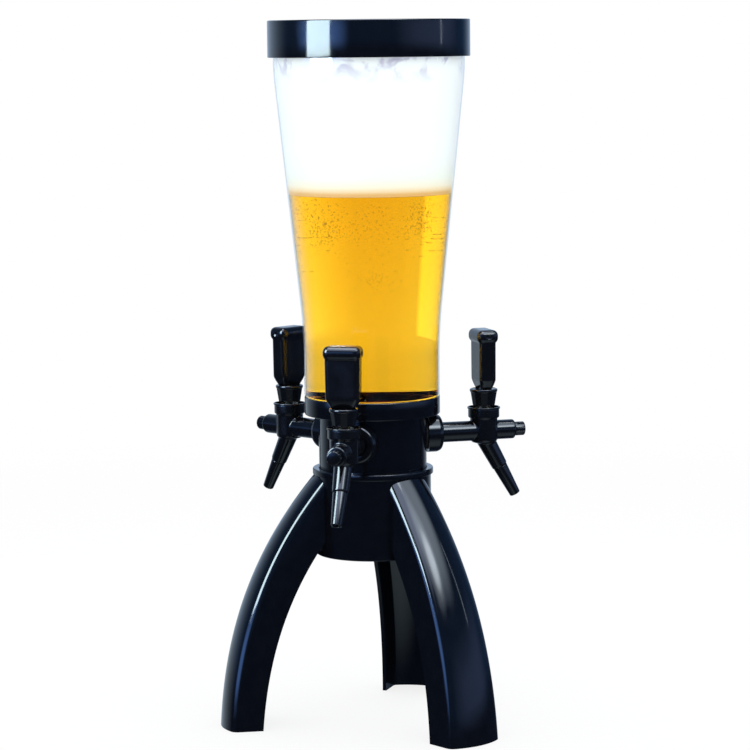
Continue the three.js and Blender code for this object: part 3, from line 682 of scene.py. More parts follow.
def pan_screw(length):
    """A screw along +Z with its head below z = 0."""
    outline = rounded([(0, -SCREW_HEAD_HEIGHT, 0), (SCREW_HEAD, -SCREW_HEAD_HEIGHT, 1.1),
                       (SCREW_HEAD, 0, 0.2),
                       (SCREW_SHANK, 0, 0)])
    level = 0.8
    while level < length - 2:
        outline += [Vector((SCREW_SHANK, level)), Vector((SCREW_SHANK - 0.3, level + THREAD_PITCH / 2))]
        level += THREAD_PITCH
    outline += [Vector((SCREW_SHANK, length - 1.5)), Vector((0, length))]
    recess = []
    for turn in (0, math.pi / 2):
        bar = bmesh.new()
        bmesh.ops.create_cube(bar, size=1)
        bmesh.ops.scale(bar, vec=(3.4 * MM, 0.8 * MM, 2.6 * MM), verts=bar.verts)
        recess.append(turned_to(bar, turn, 0, (0, 0, -SCREW_HEAD_HEIGHT)))
    return carved(spun(outline, 32), recess)


steel = stainless_steel()
LEG_SCREW_LENGTH = 10.0
HOUSING_SCREW_LENGTH = 7.5
leg_screw = pan_screw(LEG_SCREW_LENGTH)
for name, turn in legs.items():
    low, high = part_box(f"leg_screw_{name}")
    middle = Vector(((low.x + high.x) / 2, (low.y + high.y) / 2)).length / MM
    face = middle - (LEG_SCREW_LENGTH - SCREW_HEAD_HEIGHT) / 2
    make_piece(f"pan_screw_leg_{name}", turned_to(leg_screw.copy(), turn, math.pi / 2,
                                                  (face, 0, leg_screw_height)),
               steel, "tower", [f"leg_screw_{name}"])
housing_screw = pan_screw(HOUSING_SCREW_LENGTH)
for index, (x, y) in enumerate(housing_screw_spots, start=1):
    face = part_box(f"housing_screw_{index}")[0].z / MM + SCREW_HEAD_HEIGHT
    make_piece(f"pan_screw_housing_{index}", turned_to(housing_screw.copy(), 0, 0, (x, y, face)), steel,
               "tower", [f"housing_screw_{index}"])

# ------------------------------------------------------------------ tap bodies
# Each tap's body is one moulding in satin black ABS: a barrel that passes through the housing's wall, a cup
# for the lever over it, and the upper half of the spout, blended into each other.
BODY_VOXEL = 0.45 * MM
BARREL_START = 33.9
NOSE_LENGTH = 25.0
NOSE_RADIUS = 7.7
BORE = 6.0
CUP_TOP = 19.0  # above the barrel's axis
CUP_DEPTH = 8.5
CUP_RADIUS = 12.4
CUP_LIP = 13.0
CUP_LIP_HEIGHT = 1.6
CUP_BORE = 12.0
BOSS_RADIUS = 10.8
SPOUT_TILT = 0.505
SPOUT_SET_BACK = 2.8  # how far behind the cup the spout's axis meets the barrel's
SPOUT_ROOT = 7.6
SPOUT_STEP_RADIUS = 6.3
SPOUT_STEP = 33.0
SPOUT_BORE = 3.0
SPIGOT = 4.4
SPIGOT_LENGTH = 7.0
ABS_GRAIN = 1.0 * MM  # finer on the real piece, drawn as coarse as it needs to show
ABS_HANDLING = 14 * MM


def satin_black_abs():
    """ABS from a fine-textured mould: a soft, slightly broken sheen that fingers have polished in patches."""
    material, tree, output = start_material("satin_black_abs")
    place = add_node(tree, "ShaderNodeTexCoord").outputs["Object"]
    grain = add_node(tree, "ShaderNodeTexNoise", {"Scale": 1 / ABS_GRAIN, "Detail": 2.0}, {"Vector": place})
    handled = add_node(tree, "ShaderNodeTexNoise", {"Scale": 1 / ABS_HANDLING, "Detail": 2.0},
                       {"Vector": place})
    sheen = add_node(tree, "ShaderNodeMapRange",
                     {"From Min": 0.35, "From Max": 0.65, "To Min": 0.10, "To Max": 0.16},
                     {"Value": handled.outputs["Fac"]})
    bump = add_node(tree, "ShaderNodeBump", {"Strength": 0.12, "Distance": 0.12 * MM},
                    {"Height": grain.outputs["Fac"]})
    shader = add_node(tree, "ShaderNodeBsdfPrincipled", {"Base Color": linear("090A0E"), "IOR": 1.5},
                      {"Roughness": sheen.outputs["Result"], "Normal": bump.outputs["Normal"]})
    tree.links.new(shader.outputs["BSDF"], output.inputs["Surface"])
    return material


def along_x(outline, facets=64):
    """An outline of (radius, x) points spun about the barrel's axis."""
    return turned_to(spun(outline, facets), 0, math.pi / 2, (0, 0, barrel_axis))


def along_spout(outline, facets=64):
    """An outline of (radius, distance) points spun about the spout's axis."""
    return turned_to(spun(outline, facets), 0, math.pi - SPOUT_TILT,
                     (tap_reach - SPOUT_SET_BACK, 0, barrel_axis))


def over_cup(outline, facets=72):
    """An outline of (radius, height) points spun about the upright line through the lever."""
    return turned_to(spun(outline, facets), 0, 0, (tap_reach, 0, 0))


def melted(parts, voxel, passes):
    """The closed bmesh parts as one skin, with its inside corners softened."""
    joined = bmesh.new()
    for part in parts:
        mesh = bpy.data.meshes.new("melting")
        part.to_mesh(mesh)
        part.free()
        joined.from_mesh(mesh)
    mesh = bpy.data.meshes.new("melted")
    joined.to_mesh(mesh)
    lump = bpy.data.objects.new("melted", mesh)
    bpy.context.scene.collection.objects.link(lump)
    skin = lump.modifiers.new("one skin", "REMESH")
    skin.mode = "VOXEL"
    skin.voxel_size = voxel
    soften = lump.modifiers.new("soften", "SMOOTH")
    soften.factor = 0.5
    soften.iterations = passes
    result = bmesh.new()
    result.from_mesh(baked(lump))
    bpy.data.objects.remove(lump)
    return result


def for_each_tap(piece_name, bm, material, body, node, sharp=32):
    """The same piece on all three taps, riding on each one's body and standing for each one's node."""
    for tap, turn in taps.items():
        make_piece(f"{piece_name}_{tap}", turned_to(bm.copy(), turn), material,
                   body.format(tap=tap), [f"{node}_{tap}"], sharp)


def tap_body_solid():
    nose_end = tap_reach + NOSE_LENGTH
    cup_top = barrel_axis + CUP_TOP
    cup_bottom = cup_top - CUP_DEPTH
    barrel = along_x(rounded([(0, BARREL_START, 0), (BARREL_RADIUS, BARREL_START, 0.6),
                              (BARREL_RADIUS, tap_reach + 4, 0.4), (NOSE_RADIUS, tap_reach + 5, 0.4),
                              (NOSE_RADIUS, nose_end, 1.4), (0, nose_end, 0)]))
    boss = over_cup(rounded([(0, barrel_axis - 11.5, 0), (BOSS_RADIUS, barrel_axis - 9, 3),
                             (BOSS_RADIUS, cup_bottom, 1), (CUP_RADIUS, cup_bottom, 0.6),
                             (CUP_RADIUS, cup_top - 1, 0),
                             (0, cup_top - 1, 0)]))
    spout = along_spout(rounded([(0, 0, 0), (SPOUT_ROOT, 0, 1), (SPOUT_STEP_RADIUS, SPOUT_STEP, 0.4),
                                 (0, SPOUT_STEP, 0)]))
    skin = melted([barrel, boss, spout], BODY_VOXEL, 8)
    seat = lever_pivot - 2.6
    lip = over_cup(rounded([(CUP_BORE - 2, cup_top - CUP_LIP_HEIGHT, 0),
                            (CUP_LIP, cup_top - CUP_LIP_HEIGHT, 0.4),
                            (CUP_LIP, cup_top, 0.5), (CUP_BORE - 2, cup_top, 0)]))
    skin = carved(skin, [lip], "UNION")
    cavity = over_cup(rounded([(0, barrel_axis, 0), (BORE - 0.2, barrel_axis, 0),
                               (BORE - 0.2, barrel_axis + 5.5, 0),
                               (3.9, seat, 0), (CUP_BORE - 0.4, seat, 0), (CUP_BORE, cup_top + 1, 0),
                               (0, cup_top + 1, 0)]))
    bore = along_x(rounded([(0, BARREL_START - 1, 0), (BORE, BARREL_START - 1, 0), (BORE, nose_end - 11, 0),
                            (4.5, nose_end - 11, 0), (4.5, nose_end + 1, 0), (0, nose_end + 1, 0)]))
    socket = SPOUT_STEP - SPIGOT_LENGTH - 0.3
    outlet = along_spout(rounded([(0, 3, 0), (SPOUT_BORE, 3, 0), (SPOUT_BORE, socket, 0),
                                  (SPIGOT + 0.3, socket, 0),
                                  (SPIGOT + 0.3, SPOUT_STEP + 1, 0), (0, SPOUT_STEP + 1, 0)]))
    return carved(skin, [cavity, bore, outlet])


tap_abs = satin_black_abs()
for_each_tap("tap_moulding", tap_body_solid(), tap_abs, "tower", "tap_body", 45)

# ------------------------------------------------------------------ spout nozzles
# The lower half of each spout is a separate tapered ABS tube, plugged into the body by its spigot, with a fine
# seam where the two meet and a rounded lip where the beer leaves.
NOZZLE_RADIUS = 5.7
NOZZLE_TIP = 4.3
SPOUT_LENGTH = 59.5
nozzle_top = SPOUT_STEP + 0.3
nozzle_outline = rounded([
    (SPOUT_BORE, SPOUT_STEP - SPIGOT_LENGTH, 0.3), (SPIGOT, SPOUT_STEP - SPIGOT_LENGTH, 0.3),
    (SPIGOT, nozzle_top, 0),
    (NOZZLE_RADIUS, nozzle_top, 0.4), (NOZZLE_TIP, SPOUT_LENGTH, 0.7), (SPOUT_BORE, SPOUT_LENGTH, 0.4),
])
for_each_tap("nozzle", along_spout(nozzle_outline), tap_abs, "tower", "spout_nozzle")

# ------------------------------------------------------------------ wall washers and nuts
# Outside the wall, a rubber washer and a domed flange nut clamp each tap. Inside, a hexagonal lock nut does.
WASHER_RADIUS = 12.5
WASHER_THICKNESS = 1.8
FLANGE_RADIUS = 15.0
FLANGE_LENGTH = 12.8
LOCK_NUT_CORNER = 12.0
LOCK_NUT_THICKNESS = 4.6
RUBBER_BLOOM = 3 * MM


def nitrile_rubber():
    """Moulded nitrile rubber: matt charcoal with a faint dusty bloom."""
    material, tree, output = start_material("nitrile_rubber")
    place = add_node(tree, "ShaderNodeTexCoord").outputs["Object"]
    bloom = add_node(tree, "ShaderNodeTexNoise", {"Scale": 1 / RUBBER_BLOOM, "Detail": 4.0},
                     {"Vector": place})
    shade = add_node(tree, "ShaderNodeMix", {"data_type": "RGBA", "A": linear("16171A"),
                                             "B": linear("24262A")},
                     {"Factor": bloom.outputs["Fac"]})
    shader = add_node(tree, "ShaderNodeBsdfPrincipled", {"Roughness": 0.7},
                      {"Base Color": shade.outputs["Result"]})
    tree.links.new(shader.outputs["BSDF"], output.inputs["Surface"])
    return material


around_wall = (barrel_axis - 30, barrel_axis + 30)
washer_face = housing_radius + 0.3
washer = along_x(rounded([(BARREL_RADIUS + 0.3, washer_face - 9, 0), (WASHER_RADIUS, washer_face - 9, 0),
                          (WASHER_RADIUS, washer_face + 4, 0), (BARREL_RADIUS + 0.3, washer_face + 4, 0)]))
washer = carved(washer, [rod(washer_face + WASHER_THICKNESS, *around_wall, TURNED_FACETS)], "INTERSECT")
washer = carved(washer, [rod(washer_face, *around_wall, TURNED_FACETS)])
for_each_tap("rubber_washer", washer, nitrile_rubber(), "tower", "wall_washer")

flange_end = housing_radius + FLANGE_LENGTH
flange_face = housing_radius + WASHER_THICKNESS + 0.6
flange_nut = along_x(rounded([(BARREL_RADIUS + 0.3, flange_face - 9, 0), (FLANGE_RADIUS, flange_face - 9, 0),
                              (FLANGE_RADIUS, flange_end - 3.4, 0.8), (FLANGE_RADIUS - 1.2, flange_end, 2.2),
                              (BARREL_RADIUS + 0.3, flange_end, 0.5)]), 96)
flange_nut = carved(flange_nut, [rod(flange_face, *around_wall, TURNED_FACETS)])
for_each_tap("clamp_nut", flange_nut, tap_abs, "tower", "flange_nut")

lock_face = housing_inner - 0.3
lock_nut = along_x([Vector(point) for point in (
    (0, lock_face - LOCK_NUT_THICKNESS), (LOCK_NUT_CORNER, lock_face - LOCK_NUT_THICKNESS),
    (LOCK_NUT_CORNER, lock_face + 2), (0, lock_face + 2))], 6)
lock_nut = carved(lock_nut, [along_x([Vector(point) for point in (
    (0, 20), (BARREL_RADIUS + 0.3, 20), (BARREL_RADIUS + 0.3, 60), (0, 60))])])
lock_nut = carved(lock_nut, [rod(lock_face, *around_wall, TURNED_FACETS)], "INTERSECT")
for_each_tap("hex_lock_nut", lock_nut, tap_abs, "tower", "lock_nut")

# ------------------------------------------------------------------ end nuts
# A small ribbed ABS plug screws into the barrel's nose. Taking it out frees the valve's shaft for cleaning.
NUT_RADIUS = 5.5
NUT_LENGTH = 8.5
NUT_RIBS = 12
STUB_RADIUS = 4.2
nose_end = tap_reach + NOSE_LENGTH
nut_end = nose_end + NUT_LENGTH
end_nut = along_x(rounded([(0, nose_end - 8, 0), (STUB_RADIUS, nose_end - 8, 0.4),
                           (STUB_RADIUS, nose_end + 0.3, 0),
                           (NUT_RADIUS, nose_end + 0.3, 0.3), (NUT_RADIUS, nut_end, 1.0), (0, nut_end, 0)]))
grooves = []
for rib in range(NUT_RIBS):
    spoke = math.tau * (rib + 0.5) / NUT_RIBS
    groove = rod(0.55, nose_end + 1.4, nut_end + 2, 16)
    grooves.append(turned_to(groove, 0, math.pi / 2,
                             (0, NUT_RADIUS * math.sin(spoke), barrel_axis + NUT_RADIUS * math.cos(spoke))))
guide = along_x([Vector(point) for point in ((0, nose_end - 9), (2.5, nose_end - 9), (2.5, nose_end - 4),
                                             (0, nose_end - 4))], 32)
for_each_tap("ribbed_end_nut", carved(end_nut, grooves + [guide]), tap_abs, "tower", "end_nut")

# ------------------------------------------------------------------ valves
# Inside each barrel a white acetal shaft carries a silicone seal that shuts the barrel's inner end. The
# lever's tip stands in the slotted block under the cup and pushes the shaft inwards to open it.
ROD_RADIUS = 2.2
BLOCK_RADIUS = 5.2
BLOCK_LENGTH = 11.5
SEAL_RADIUS = 6.8
SEAL_LENGTH = 3.5
GASKET_INNER = 41.2
ACETAL_MOTTLE = 6 * MM


def white_acetal():
    """Turned acetal: slippery off-white with a dull gloss and the faint clouding of machined resin."""
    material, tree, output = start_material("white_acetal")
    place = add_node(tree, "ShaderNodeTexCoord").outputs["Object"]
    cloud = add_node(tree, "ShaderNodeTexNoise", {"Scale": 1 / ACETAL_MOTTLE, "Detail": 3.0},
                     {"Vector": place})
    shade = add_node(tree, "ShaderNodeMix", {"data_type": "RGBA", "A": linear("E2DFD5"),
                                             "B": linear("EFEDE6")},
                     {"Factor": cloud.outputs["Fac"]})
    shader = add_node(tree, "ShaderNodeBsdfPrincipled", {"Roughness": 0.35, "IOR": 1.48},
                      {"Base Color": shade.outputs["Result"]})
    tree.links.new(shader.outputs["BSDF"], output.inputs["Surface"])
    return material


def silicone():
    """Moulded silicone: milky, matt, and a little dusty."""
    material, tree, output = start_material("milky_silicone")
    place = add_node(tree, "ShaderNodeTexCoord").outputs["Object"]
    dust = add_node(tree, "ShaderNodeTexNoise", {"Scale": 1 / RUBBER_BLOOM, "Detail": 4.0}, {"Vector": place})
    rough = add_node(tree, "ShaderNodeMapRange", {"To Min": 0.45, "To Max": 0.7},
                     {"Value": dust.outputs["Fac"]})
    shader = add_node(tree, "ShaderNodeBsdfPrincipled",
                      {"Base Color": linear("D8D5CA"), "Subsurface Weight": 0.2,
                                                         "Subsurface Radius": (0.002, 0.002, 0.002)},
                      {"Roughness": rough.outputs["Result"]})
    tree.links.new(shader.outputs["BSDF"], output.inputs["Surface"])
    return material


acetal = white_acetal()
milky_silicone = silicone()
seal_end = BARREL_START - 0.3
seal_start = seal_end - SEAL_LENGTH
block_start = tap_reach - BLOCK_LENGTH / 2
block_end = tap_reach + BLOCK_LENGTH / 2
shaft = along_x(rounded([
    (0, seal_start - 2.1, 0), (3.6, seal_start - 2.1, 0.4), (3.6, seal_start - 0.3, 0),
    (ROD_RADIUS, seal_start - 0.3, 0),
    (ROD_RADIUS, block_start - 1.5, 0), (BLOCK_RADIUS, block_start, 0.4), (BLOCK_RADIUS, block_end, 0.4),
    (ROD_RADIUS, block_end + 1.5, 0), (ROD_RADIUS, nose_end - 5, 0.5), (0, nose_end - 5, 0),
]))
lever_slot = bmesh.new()
bmesh.ops.create_cube(lever_slot, size=1)
bmesh.ops.scale(lever_slot, vec=(7.8 * MM, 7.0 * MM, 23.5 * MM), verts=lever_slot.verts)
turned_to(lever_slot, 0, 0, (tap_reach, 0, barrel_axis + 8.25))
for_each_tap("shaft", carved(shaft, [lever_slot]), acetal, "{tap}_valve", "valve_shaft")
seal = along_x(rounded([(ROD_RADIUS + 0.3, seal_start, 0.2), (SEAL_RADIUS, seal_start, 0.8),
                        (SEAL_RADIUS, seal_end, 0.6),
                        (ROD_RADIUS + 0.3, seal_end, 0.2)]))
for_each_tap("seal", seal, milky_silicone, "{tap}_valve", "valve_seal")
gasket_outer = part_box("tank_gasket")[1].x / MM
gasket = spun(rounded([(GASKET_INNER, gasket_low, 0.4), (gasket_outer, gasket_low, 0.4),
                       (gasket_outer, gasket_high, 0.4), (GASKET_INNER, gasket_high, 0.4)]), TURNED_FACETS)
make_piece("flat_gasket", gasket, milky_silicone, "gasket", ["tank_gasket"])

# ------------------------------------------------------------------ levers
# A turned stainless pin with two balls. The middle one rests in the cup's floor under a dished acetal ring and
# is the pivot, and the small one at the bottom works the valve. The handle is screwed on at the top.
BALL_RADIUS = 4.5
TIP_RADIUS = 3.2
PIN_RADIUS = 1.8
PIN_TOP = 40.0


def ball(radius, centre, first, last, steps=12):
    """An arc of (radius, height) points from first to last, in degrees from straight down."""
    angles = [math.radians(first + (last - first) * step / steps) for step in range(steps + 1)]
    return [Vector((radius * math.sin(angle), centre - radius * math.cos(angle))) for angle in angles]


tip_neck = math.degrees(math.asin(PIN_RADIUS / TIP_RADIUS))
ball_neck = math.degrees(math.asin(PIN_RADIUS / BALL_RADIUS))
lever_outline = ball(TIP_RADIUS, barrel_axis, 0, 180 - tip_neck)
lever_outline += ball(BALL_RADIUS, lever_pivot, ball_neck, 180 - ball_neck)
lever_outline += [Vector((PIN_RADIUS, barrel_axis + PIN_TOP)), Vector((0, barrel_axis + PIN_TOP))]
for_each_tap("lever_pin", over_cup(lever_outline, 48), steel, "{tap}_lever", "lever")
ring_edge = CUP_BORE - 0.7
ring_outline = rounded([
    (BALL_RADIUS + 0.3, lever_pivot - 2.3, 0), (ring_edge, lever_pivot - 2.3, 0.3),
    (ring_edge, lever_pivot, 0.6),
    (BALL_RADIUS + 0.2, lever_pivot + 2.3, 0.2), (BALL_RADIUS - 0.35, lever_pivot + 2.3, 0),
    (BALL_RADIUS + 0.3, lever_pivot + 0.7, 0),
])
for_each_tap("dished_ring", over_cup(ring_outline), acetal, "tower", "ball_retainer")

# ------------------------------------------------------------------ ferrules
# A faceted cone of satin ABS under each handle, wider at its top, where a rounded rim takes the handle.
FERRULE_BOTTOM = 20.0
FERRULE_HEIGHT = 13.4
FERRULE_LOW_RADIUS = 9.0
FERRULE_TOP_RADIUS = 11.0
FERRULE_FLATS = 12
FERRULE_CUP_RADIUS = 9.9
FERRULE_CUP_DEPTH = 2.4
ferrule_low = barrel_axis + FERRULE_BOTTOM
ferrule_high = ferrule_low + FERRULE_HEIGHT
ferrule_cone = over_cup([Vector(point) for point in (
    (PIN_RADIUS + 0.3, ferrule_low), (FERRULE_LOW_RADIUS - 0.5, ferrule_low),
    (FERRULE_LOW_RADIUS, ferrule_low + 0.8),
    (FERRULE_TOP_RADIUS - 0.3, ferrule_high - 2.2), (FERRULE_TOP_RADIUS - 0.8, ferrule_high - 1.2),
    (PIN_RADIUS + 0.3, ferrule_high - 1.2))], FERRULE_FLATS)
ferrule_rim = over_cup(rounded([
    (PIN_RADIUS + 0.3, ferrule_high - 3, 0), (FERRULE_TOP_RADIUS - 1, ferrule_high - 3, 0),
    (FERRULE_TOP_RADIUS, ferrule_high - 2, 0.6), (FERRULE_TOP_RADIUS, ferrule_high, 0.9),
    (PIN_RADIUS + 0.3, ferrule_high, 0)]))
ferrule = carved(ferrule_cone, [ferrule_rim], "UNION")
ferrule_cup = over_cup(rounded([
    (0, ferrule_high - FERRULE_CUP_DEPTH, 0), (FERRULE_CUP_RADIUS, ferrule_high - FERRULE_CUP_DEPTH, 0),
    (FERRULE_CUP_RADIUS, ferrule_high + 1, 0), (0, ferrule_high + 1, 0)]))
for_each_tap("cone_ferrule", carved(ferrule, [ferrule_cup]), tap_abs, "{tap}_lever",
             "ferrule", 18)

# ------------------------------------------------------------------ handles
# A flat paddle of satin ABS with a thick roll across its top. The roll overhangs the paddle all round, ends in
# a shallow round dimple on each side, and the paddle's narrow foot stands in the ferrule.
HANDLE_VOXEL = 0.4 * MM
PADDLE_HALF_WIDTH = 13.3
PADDLE_HALF_DEPTH = 6.7
PADDLE_FOOT_WIDTH = 9.2
PADDLE_FOOT_DEPTH = 4.6
ROLL_HALF_LENGTH = 14.6
ROLL_HALF_DEPTH = 8.6
ROLL_HEIGHT = 10.8
DIMPLE_RADIUS = 2.6
handle_low = ferrule_high - FERRULE_CUP_DEPTH + 0.3
handle_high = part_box("handle_front")[1].z / MM


def slab(half_depth, half_width, height, edge):
    """A block about the upright line, with its edges rounded."""
    bm = bmesh.new()
    bmesh.ops.create_cube(bm, size=1)
    bmesh.ops.scale(bm, vec=(2 * half_depth * MM, 2 * half_width * MM, height * MM), verts=bm.verts)
    bmesh.ops.bevel(bm, geom=bm.edges[:], offset=edge * MM, offset_type="OFFSET", segments=6, profile=0.5,
                    affect="EDGES", material=-1, clamp_overlap=True)
    return bm


def handle_solid():
    paddle_height = handle_high - handle_low - 4
    paddle = slab(PADDLE_HALF_DEPTH, PADDLE_HALF_WIDTH, paddle_height, 3.4)
    for share in (0.09, 0.12, 0.15, 0.18, 0.21, 0.25):
        bmesh.ops.bisect_plane(paddle, geom=paddle.verts[:] + paddle.edges[:] + paddle.faces[:],
                               plane_co=(0, 0, (share - 0.5) * paddle_height * MM), plane_no=(0, 0, 1))
    for vert in paddle.verts:
        share = vert.co.z / (paddle_height * MM) + 0.5
        narrow = min(1, max(0, 1.35 - share / 0.16)) ** 1.3
        vert.co.y *= 1 - narrow * (1 - PADDLE_FOOT_WIDTH / PADDLE_HALF_WIDTH)
        vert.co.x *= 1 - narrow * (1 - PADDLE_FOOT_DEPTH / PADDLE_HALF_DEPTH)
        vert.co.y *= 1 + 0.05 * (share - 0.5)
    turned_to(paddle, 0, 0, (tap_reach, 0, handle_low + paddle_height / 2))
    roll = slab(ROLL_HALF_DEPTH, ROLL_HALF_LENGTH, ROLL_HEIGHT, 4.4)
    turned_to(roll, 0, 0, (tap_reach, 0, handle_high - ROLL_HEIGHT / 2))
    skin = melted([paddle, roll], HANDLE_VOXEL, 6)
    socket = over_cup([Vector(point) for point in (
        (0, handle_low - 2), (PIN_RADIUS + 0.3, handle_low - 2),
        (PIN_RADIUS + 0.3, barrel_axis + PIN_TOP + 0.3),
        (0, barrel_axis + PIN_TOP + 0.3))], 32)
    dimples = []
    for side in (-1, 1):
        bead = bmesh.new()
        bmesh.ops.create_uvsphere(bead, u_segments=32, v_segments=16, radius=DIMPLE_RADIUS * 1.6 * MM)
        depth = ROLL_HALF_LENGTH + DIMPLE_RADIUS * 1.6 - 0.8
        dimples.append(turned_to(bead, 0, 0, (tap_reach, side * depth, handle_high - ROLL_HEIGHT / 2)))
    return carved(skin, [socket, *dimples])


for_each_tap("handle_grip", handle_solid(), tap_abs, "{tap}_lever", "handle", 45)

# ------------------------------------------------------------------ studio
# A pale floor that fades into a white surround, and soft boxes to the left, the right and overhead. Polished
# black only shows what it mirrors, so what it mirrors is a dim room with a pale wall behind.
CAMERA_TURN = math.radians(13.6)
CAMERA_DISTANCE = 2.223
CAMERA_HEIGHT = 0.5347
CAMERA_PITCH = math.radians(6.69)
CAMERA_YAW = math.radians(0.06)
CAMERA_ROLL = math.radians(-0.57)
CAMERA_LENS = 137.28
FLOOR_RADIUS = 3.0


def studio_floor():
    """White card: bright by its own light, so that shadows on it stay faint, and gone at its rim."""
    material, tree, output = start_material("studio_floor")
    place = add_node(tree, "ShaderNodeTexCoord").outputs["Object"]
    reach = add_node(tree, "ShaderNodeVectorMath", {"operation": "LENGTH"}, {0: place})
    fade = add_node(tree, "ShaderNodeMapRange", {"From Min": 0.5, "From Max": 1.6},
                    {"Value": reach.outputs["Value"]})
    card = add_node(tree, "ShaderNodeBsdfDiffuse", {"Color": (0.14, 0.14, 0.14, 1)})
    glow = add_node(tree, "ShaderNodeEmission", {"Color": (1, 1, 1, 1), "Strength": 0.82})
    both = add_node(tree, "ShaderNodeAddShader", {}, {0: card.outputs["BSDF"], 1: glow.outputs["Emission"]})
    gone = add_node(tree, "ShaderNodeBsdfTransparent")
    mix = add_node(tree, "ShaderNodeMixShader", {}, {0: fade.outputs["Result"], 1: both.outputs["Shader"],
                                                     2: gone.outputs["BSDF"]})
    tree.links.new(mix.outputs["Shader"], output.inputs["Surface"])
    return material


floor_bmesh = bmesh.new()
bmesh.ops.create_circle(floor_bmesh, cap_ends=True, segments=96, radius=FLOOR_RADIUS)
floor_mesh = bpy.data.meshes.new("studio_floor")
floor_bmesh.to_mesh(floor_mesh)
floor_mesh.materials.append(studio_floor())
floor = bpy.data.objects.new("studio_floor", floor_mesh)
bpy.context.scene.collection.objects.link(floor)
floor.visible_glossy = False


def toward(azimuth):
    """The level direction that many degrees to the right of the camera, seen from the tower."""
    angle = CAMERA_TURN + math.radians(azimuth)
    return Vector((math.sin(angle), -math.cos(angle), 0))


def soft_box(name, azimuth, distance, height, width, tall, power, colour):
    """An area light that faces the tower's axis at its own height, and is seen only in reflections."""
    data = bpy.data.lights.new(name, "AREA")
    data.shape = "RECTANGLE"
    data.size = width
    data.size_y = tall
    data.energy = power
    data.color = linear(colour)[:3]
    light = bpy.data.objects.new(name, data)
    bpy.context.scene.collection.objects.link(light)
    light.location = toward(azimuth) * distance + Vector((0, 0, height))
    light.rotation_euler = toward(azimuth).to_track_quat("Z", "Y").to_euler()
    light.visible_camera = False
    light.visible_transmission = False
    light.visible_diffuse = False
    return light


soft_box("left_box", -57.5, 1.3, 0.9, 0.66, 1.1, 51, "DDF6FF")
soft_box("right_strip", 88, 1.6, 0.85, 0.05, 0.75, 0.34, "E6F2FF")
overhead = soft_box("overhead_box", 0, 0.2, 1.7, 1.1, 1.1, 26, "F2F8FF")
overhead.rotation_euler = (0, 0, 0)

world = bpy.data.worlds.new("studio")
bpy.context.scene.world = world
world.use_nodes = True
sky = world.node_tree
sky.nodes.clear()
sky_output = sky.nodes.new("ShaderNodeOutputWorld")
sight = add_node(sky, "ShaderNodeTexCoord").outputs["Generated"]
level = add_node(sky, "ShaderNodeSeparateXYZ", {}, {"Vector": sight}).outputs["Z"]
low_share = add_node(sky, "ShaderNodeMapRange", {"From Min": -0.10, "From Max": -0.02}, {"Value": level})
high_share = add_node(sky, "ShaderNodeMapRange", {"From Min": 0.30, "From Max": 0.10}, {"Value": level})
band = add_node(sky, "ShaderNodeMath", {"operation": "MULTIPLY"},
                {0: low_share.outputs["Result"], 1: high_share.outputs["Result"]})
front = add_node(sky, "ShaderNodeMix", {"data_type": "RGBA", "A": (0.015, 0.03, 0.07, 1),
                                        "B": (0.04, 0.11, 0.27, 1)}, {"Factor": low_share.outputs["Result"]})
room = front.outputs["Result"]


def glow(walls, azimuth, elevation, spread, colour, in_band=False):
    """The room's walls with a soft patch of light added, spread that many degrees to where it has gone."""
    rise = math.radians(elevation)
    middle = toward(azimuth) * math.cos(rise) + Vector((0, 0, math.sin(rise)))
    near = add_node(sky, "ShaderNodeVectorMath", {"operation": "DOT_PRODUCT", 1: middle}, {0: sight})
    share = add_node(sky, "ShaderNodeMapRange", {"interpolation_type": "SMOOTHSTEP", "To Max": 1.0,
                                                 "From Min": math.cos(math.radians(spread)), "From Max": 1.0},
                     {"Value": near.outputs["Value"]}).outputs["Result"]
    if in_band:
        share = add_node(sky, "ShaderNodeMath", {"operation": "MULTIPLY"},
                         {0: share, 1: band.outputs["Value"]}).outputs["Value"]
    return add_node(sky, "ShaderNodeMix", {"data_type": "RGBA", "blend_type": "ADD", "B": (*colour, 1)},
                    {"Factor": share, "A": walls}).outputs["Result"]


room = glow(room, -166, 5, 64, (0.50, 0.60, 0.68))
room = glow(room, -56, 4, 36, (0.8, 1.7, 4.4), in_band=True)
room = glow(room, 74, 10, 48, (0.25, 0.34, 0.62), in_band=True)
room = glow(room, 60, 52, 29, (2.8, 3.3, 3.8))
room = glow(room, 33, 42, 19, (2.6, 3.0, 3.4))
room = glow(room, 37, 40, 11, (6.5, 7.2, 7.8))
room = glow(room, -15, 55, 35, (2.9, 3.4, 4.6))
room = glow(room, 10, -60, 42, (0.45, 0.58, 0.62))
ray = add_node(sky, "ShaderNodeLightPath")
mirrored = add_node(sky, "ShaderNodeMath", {"operation": "SUBTRACT", "use_clamp": True},
                    {0: ray.outputs["Is Glossy Ray"], 1: ray.outputs["Is Transmission Ray"]})
plain = add_node(sky, "ShaderNodeMix", {"data_type": "RGBA", "A": (1.0, 1.0, 1.0, 1),
                                        "B": (1.40, 1.44, 1.46, 1)},
                 {"Factor": ray.outputs["Is Diffuse Ray"]})
across = add_node(sky, "ShaderNodeVectorMath", {"operation": "DOT_PRODUCT", 1: toward(-90)}, {0: sight})
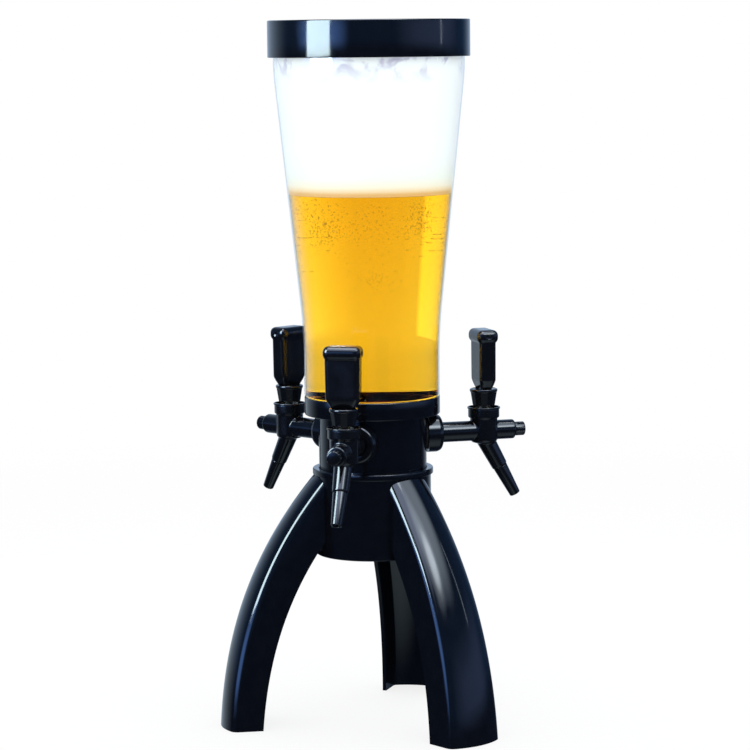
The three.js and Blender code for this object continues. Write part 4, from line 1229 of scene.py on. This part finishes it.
beyond = add_node(sky, "ShaderNodeMapRange", {"From Min": -0.13, "From Max": -0.07, "To Min": 1.14,
                                              "To Max": 1.34},
                  {"Value": level}).outputs["Result"]
for side_start, side_full, sill_start, sill_full, extra in (  # the windows behind, and their extra light
    (0.38, 0.42, -0.0640, -0.0615, 0.75), (-0.1, -0.5, -0.072, -0.045, 0.45),
):
    edge = add_node(sky, "ShaderNodeMapRange", {"From Min": side_start, "From Max": side_full},
                    {"Value": across.outputs["Value"]})
    sill = add_node(sky, "ShaderNodeMapRange", {"From Min": sill_start, "From Max": sill_full,
                                                "To Max": extra},
                    {"Value": level})
    pane = add_node(sky, "ShaderNodeMath", {"operation": "MULTIPLY"},
                    {0: edge.outputs["Result"], 1: sill.outputs["Result"]})
    beyond = add_node(sky, "ShaderNodeMath", {"operation": "ADD"},
                      {0: beyond, 1: pane.outputs["Value"]}).outputs["Value"]
through = add_node(sky, "ShaderNodeMix", {"data_type": "RGBA"},
                   {"Factor": ray.outputs["Is Transmission Ray"], "A": plain.outputs["Result"],
                    "B": beyond})
seen = add_node(sky, "ShaderNodeMix", {"data_type": "RGBA"},
                {"Factor": mirrored.outputs["Value"], "A": through.outputs["Result"], "B": room})
surround = add_node(sky, "ShaderNodeBackground", {"Strength": 1.0}, {"Color": seen.outputs["Result"]})
sky.links.new(surround.outputs["Background"], sky_output.inputs["Surface"])

camera_data = bpy.data.cameras.new("camera")
camera_data.lens = CAMERA_LENS
camera_data.sensor_width = 36
camera_data.clip_end = 50
camera = bpy.data.objects.new("camera", camera_data)
bpy.context.scene.collection.objects.link(camera)
camera.matrix_world = (Matrix.Translation(toward(0) * CAMERA_DISTANCE + Vector((0, 0, CAMERA_HEIGHT)))
                       @ Matrix.Rotation(CAMERA_TURN - CAMERA_YAW, 4, "Z")
                       @ Matrix.Rotation(math.pi / 2 - CAMERA_PITCH, 4, "X")
                       @ Matrix.Rotation(CAMERA_ROLL, 4, "Z"))
bpy.context.scene.camera = camera
bpy.context.scene.view_settings.view_transform = "Standard"
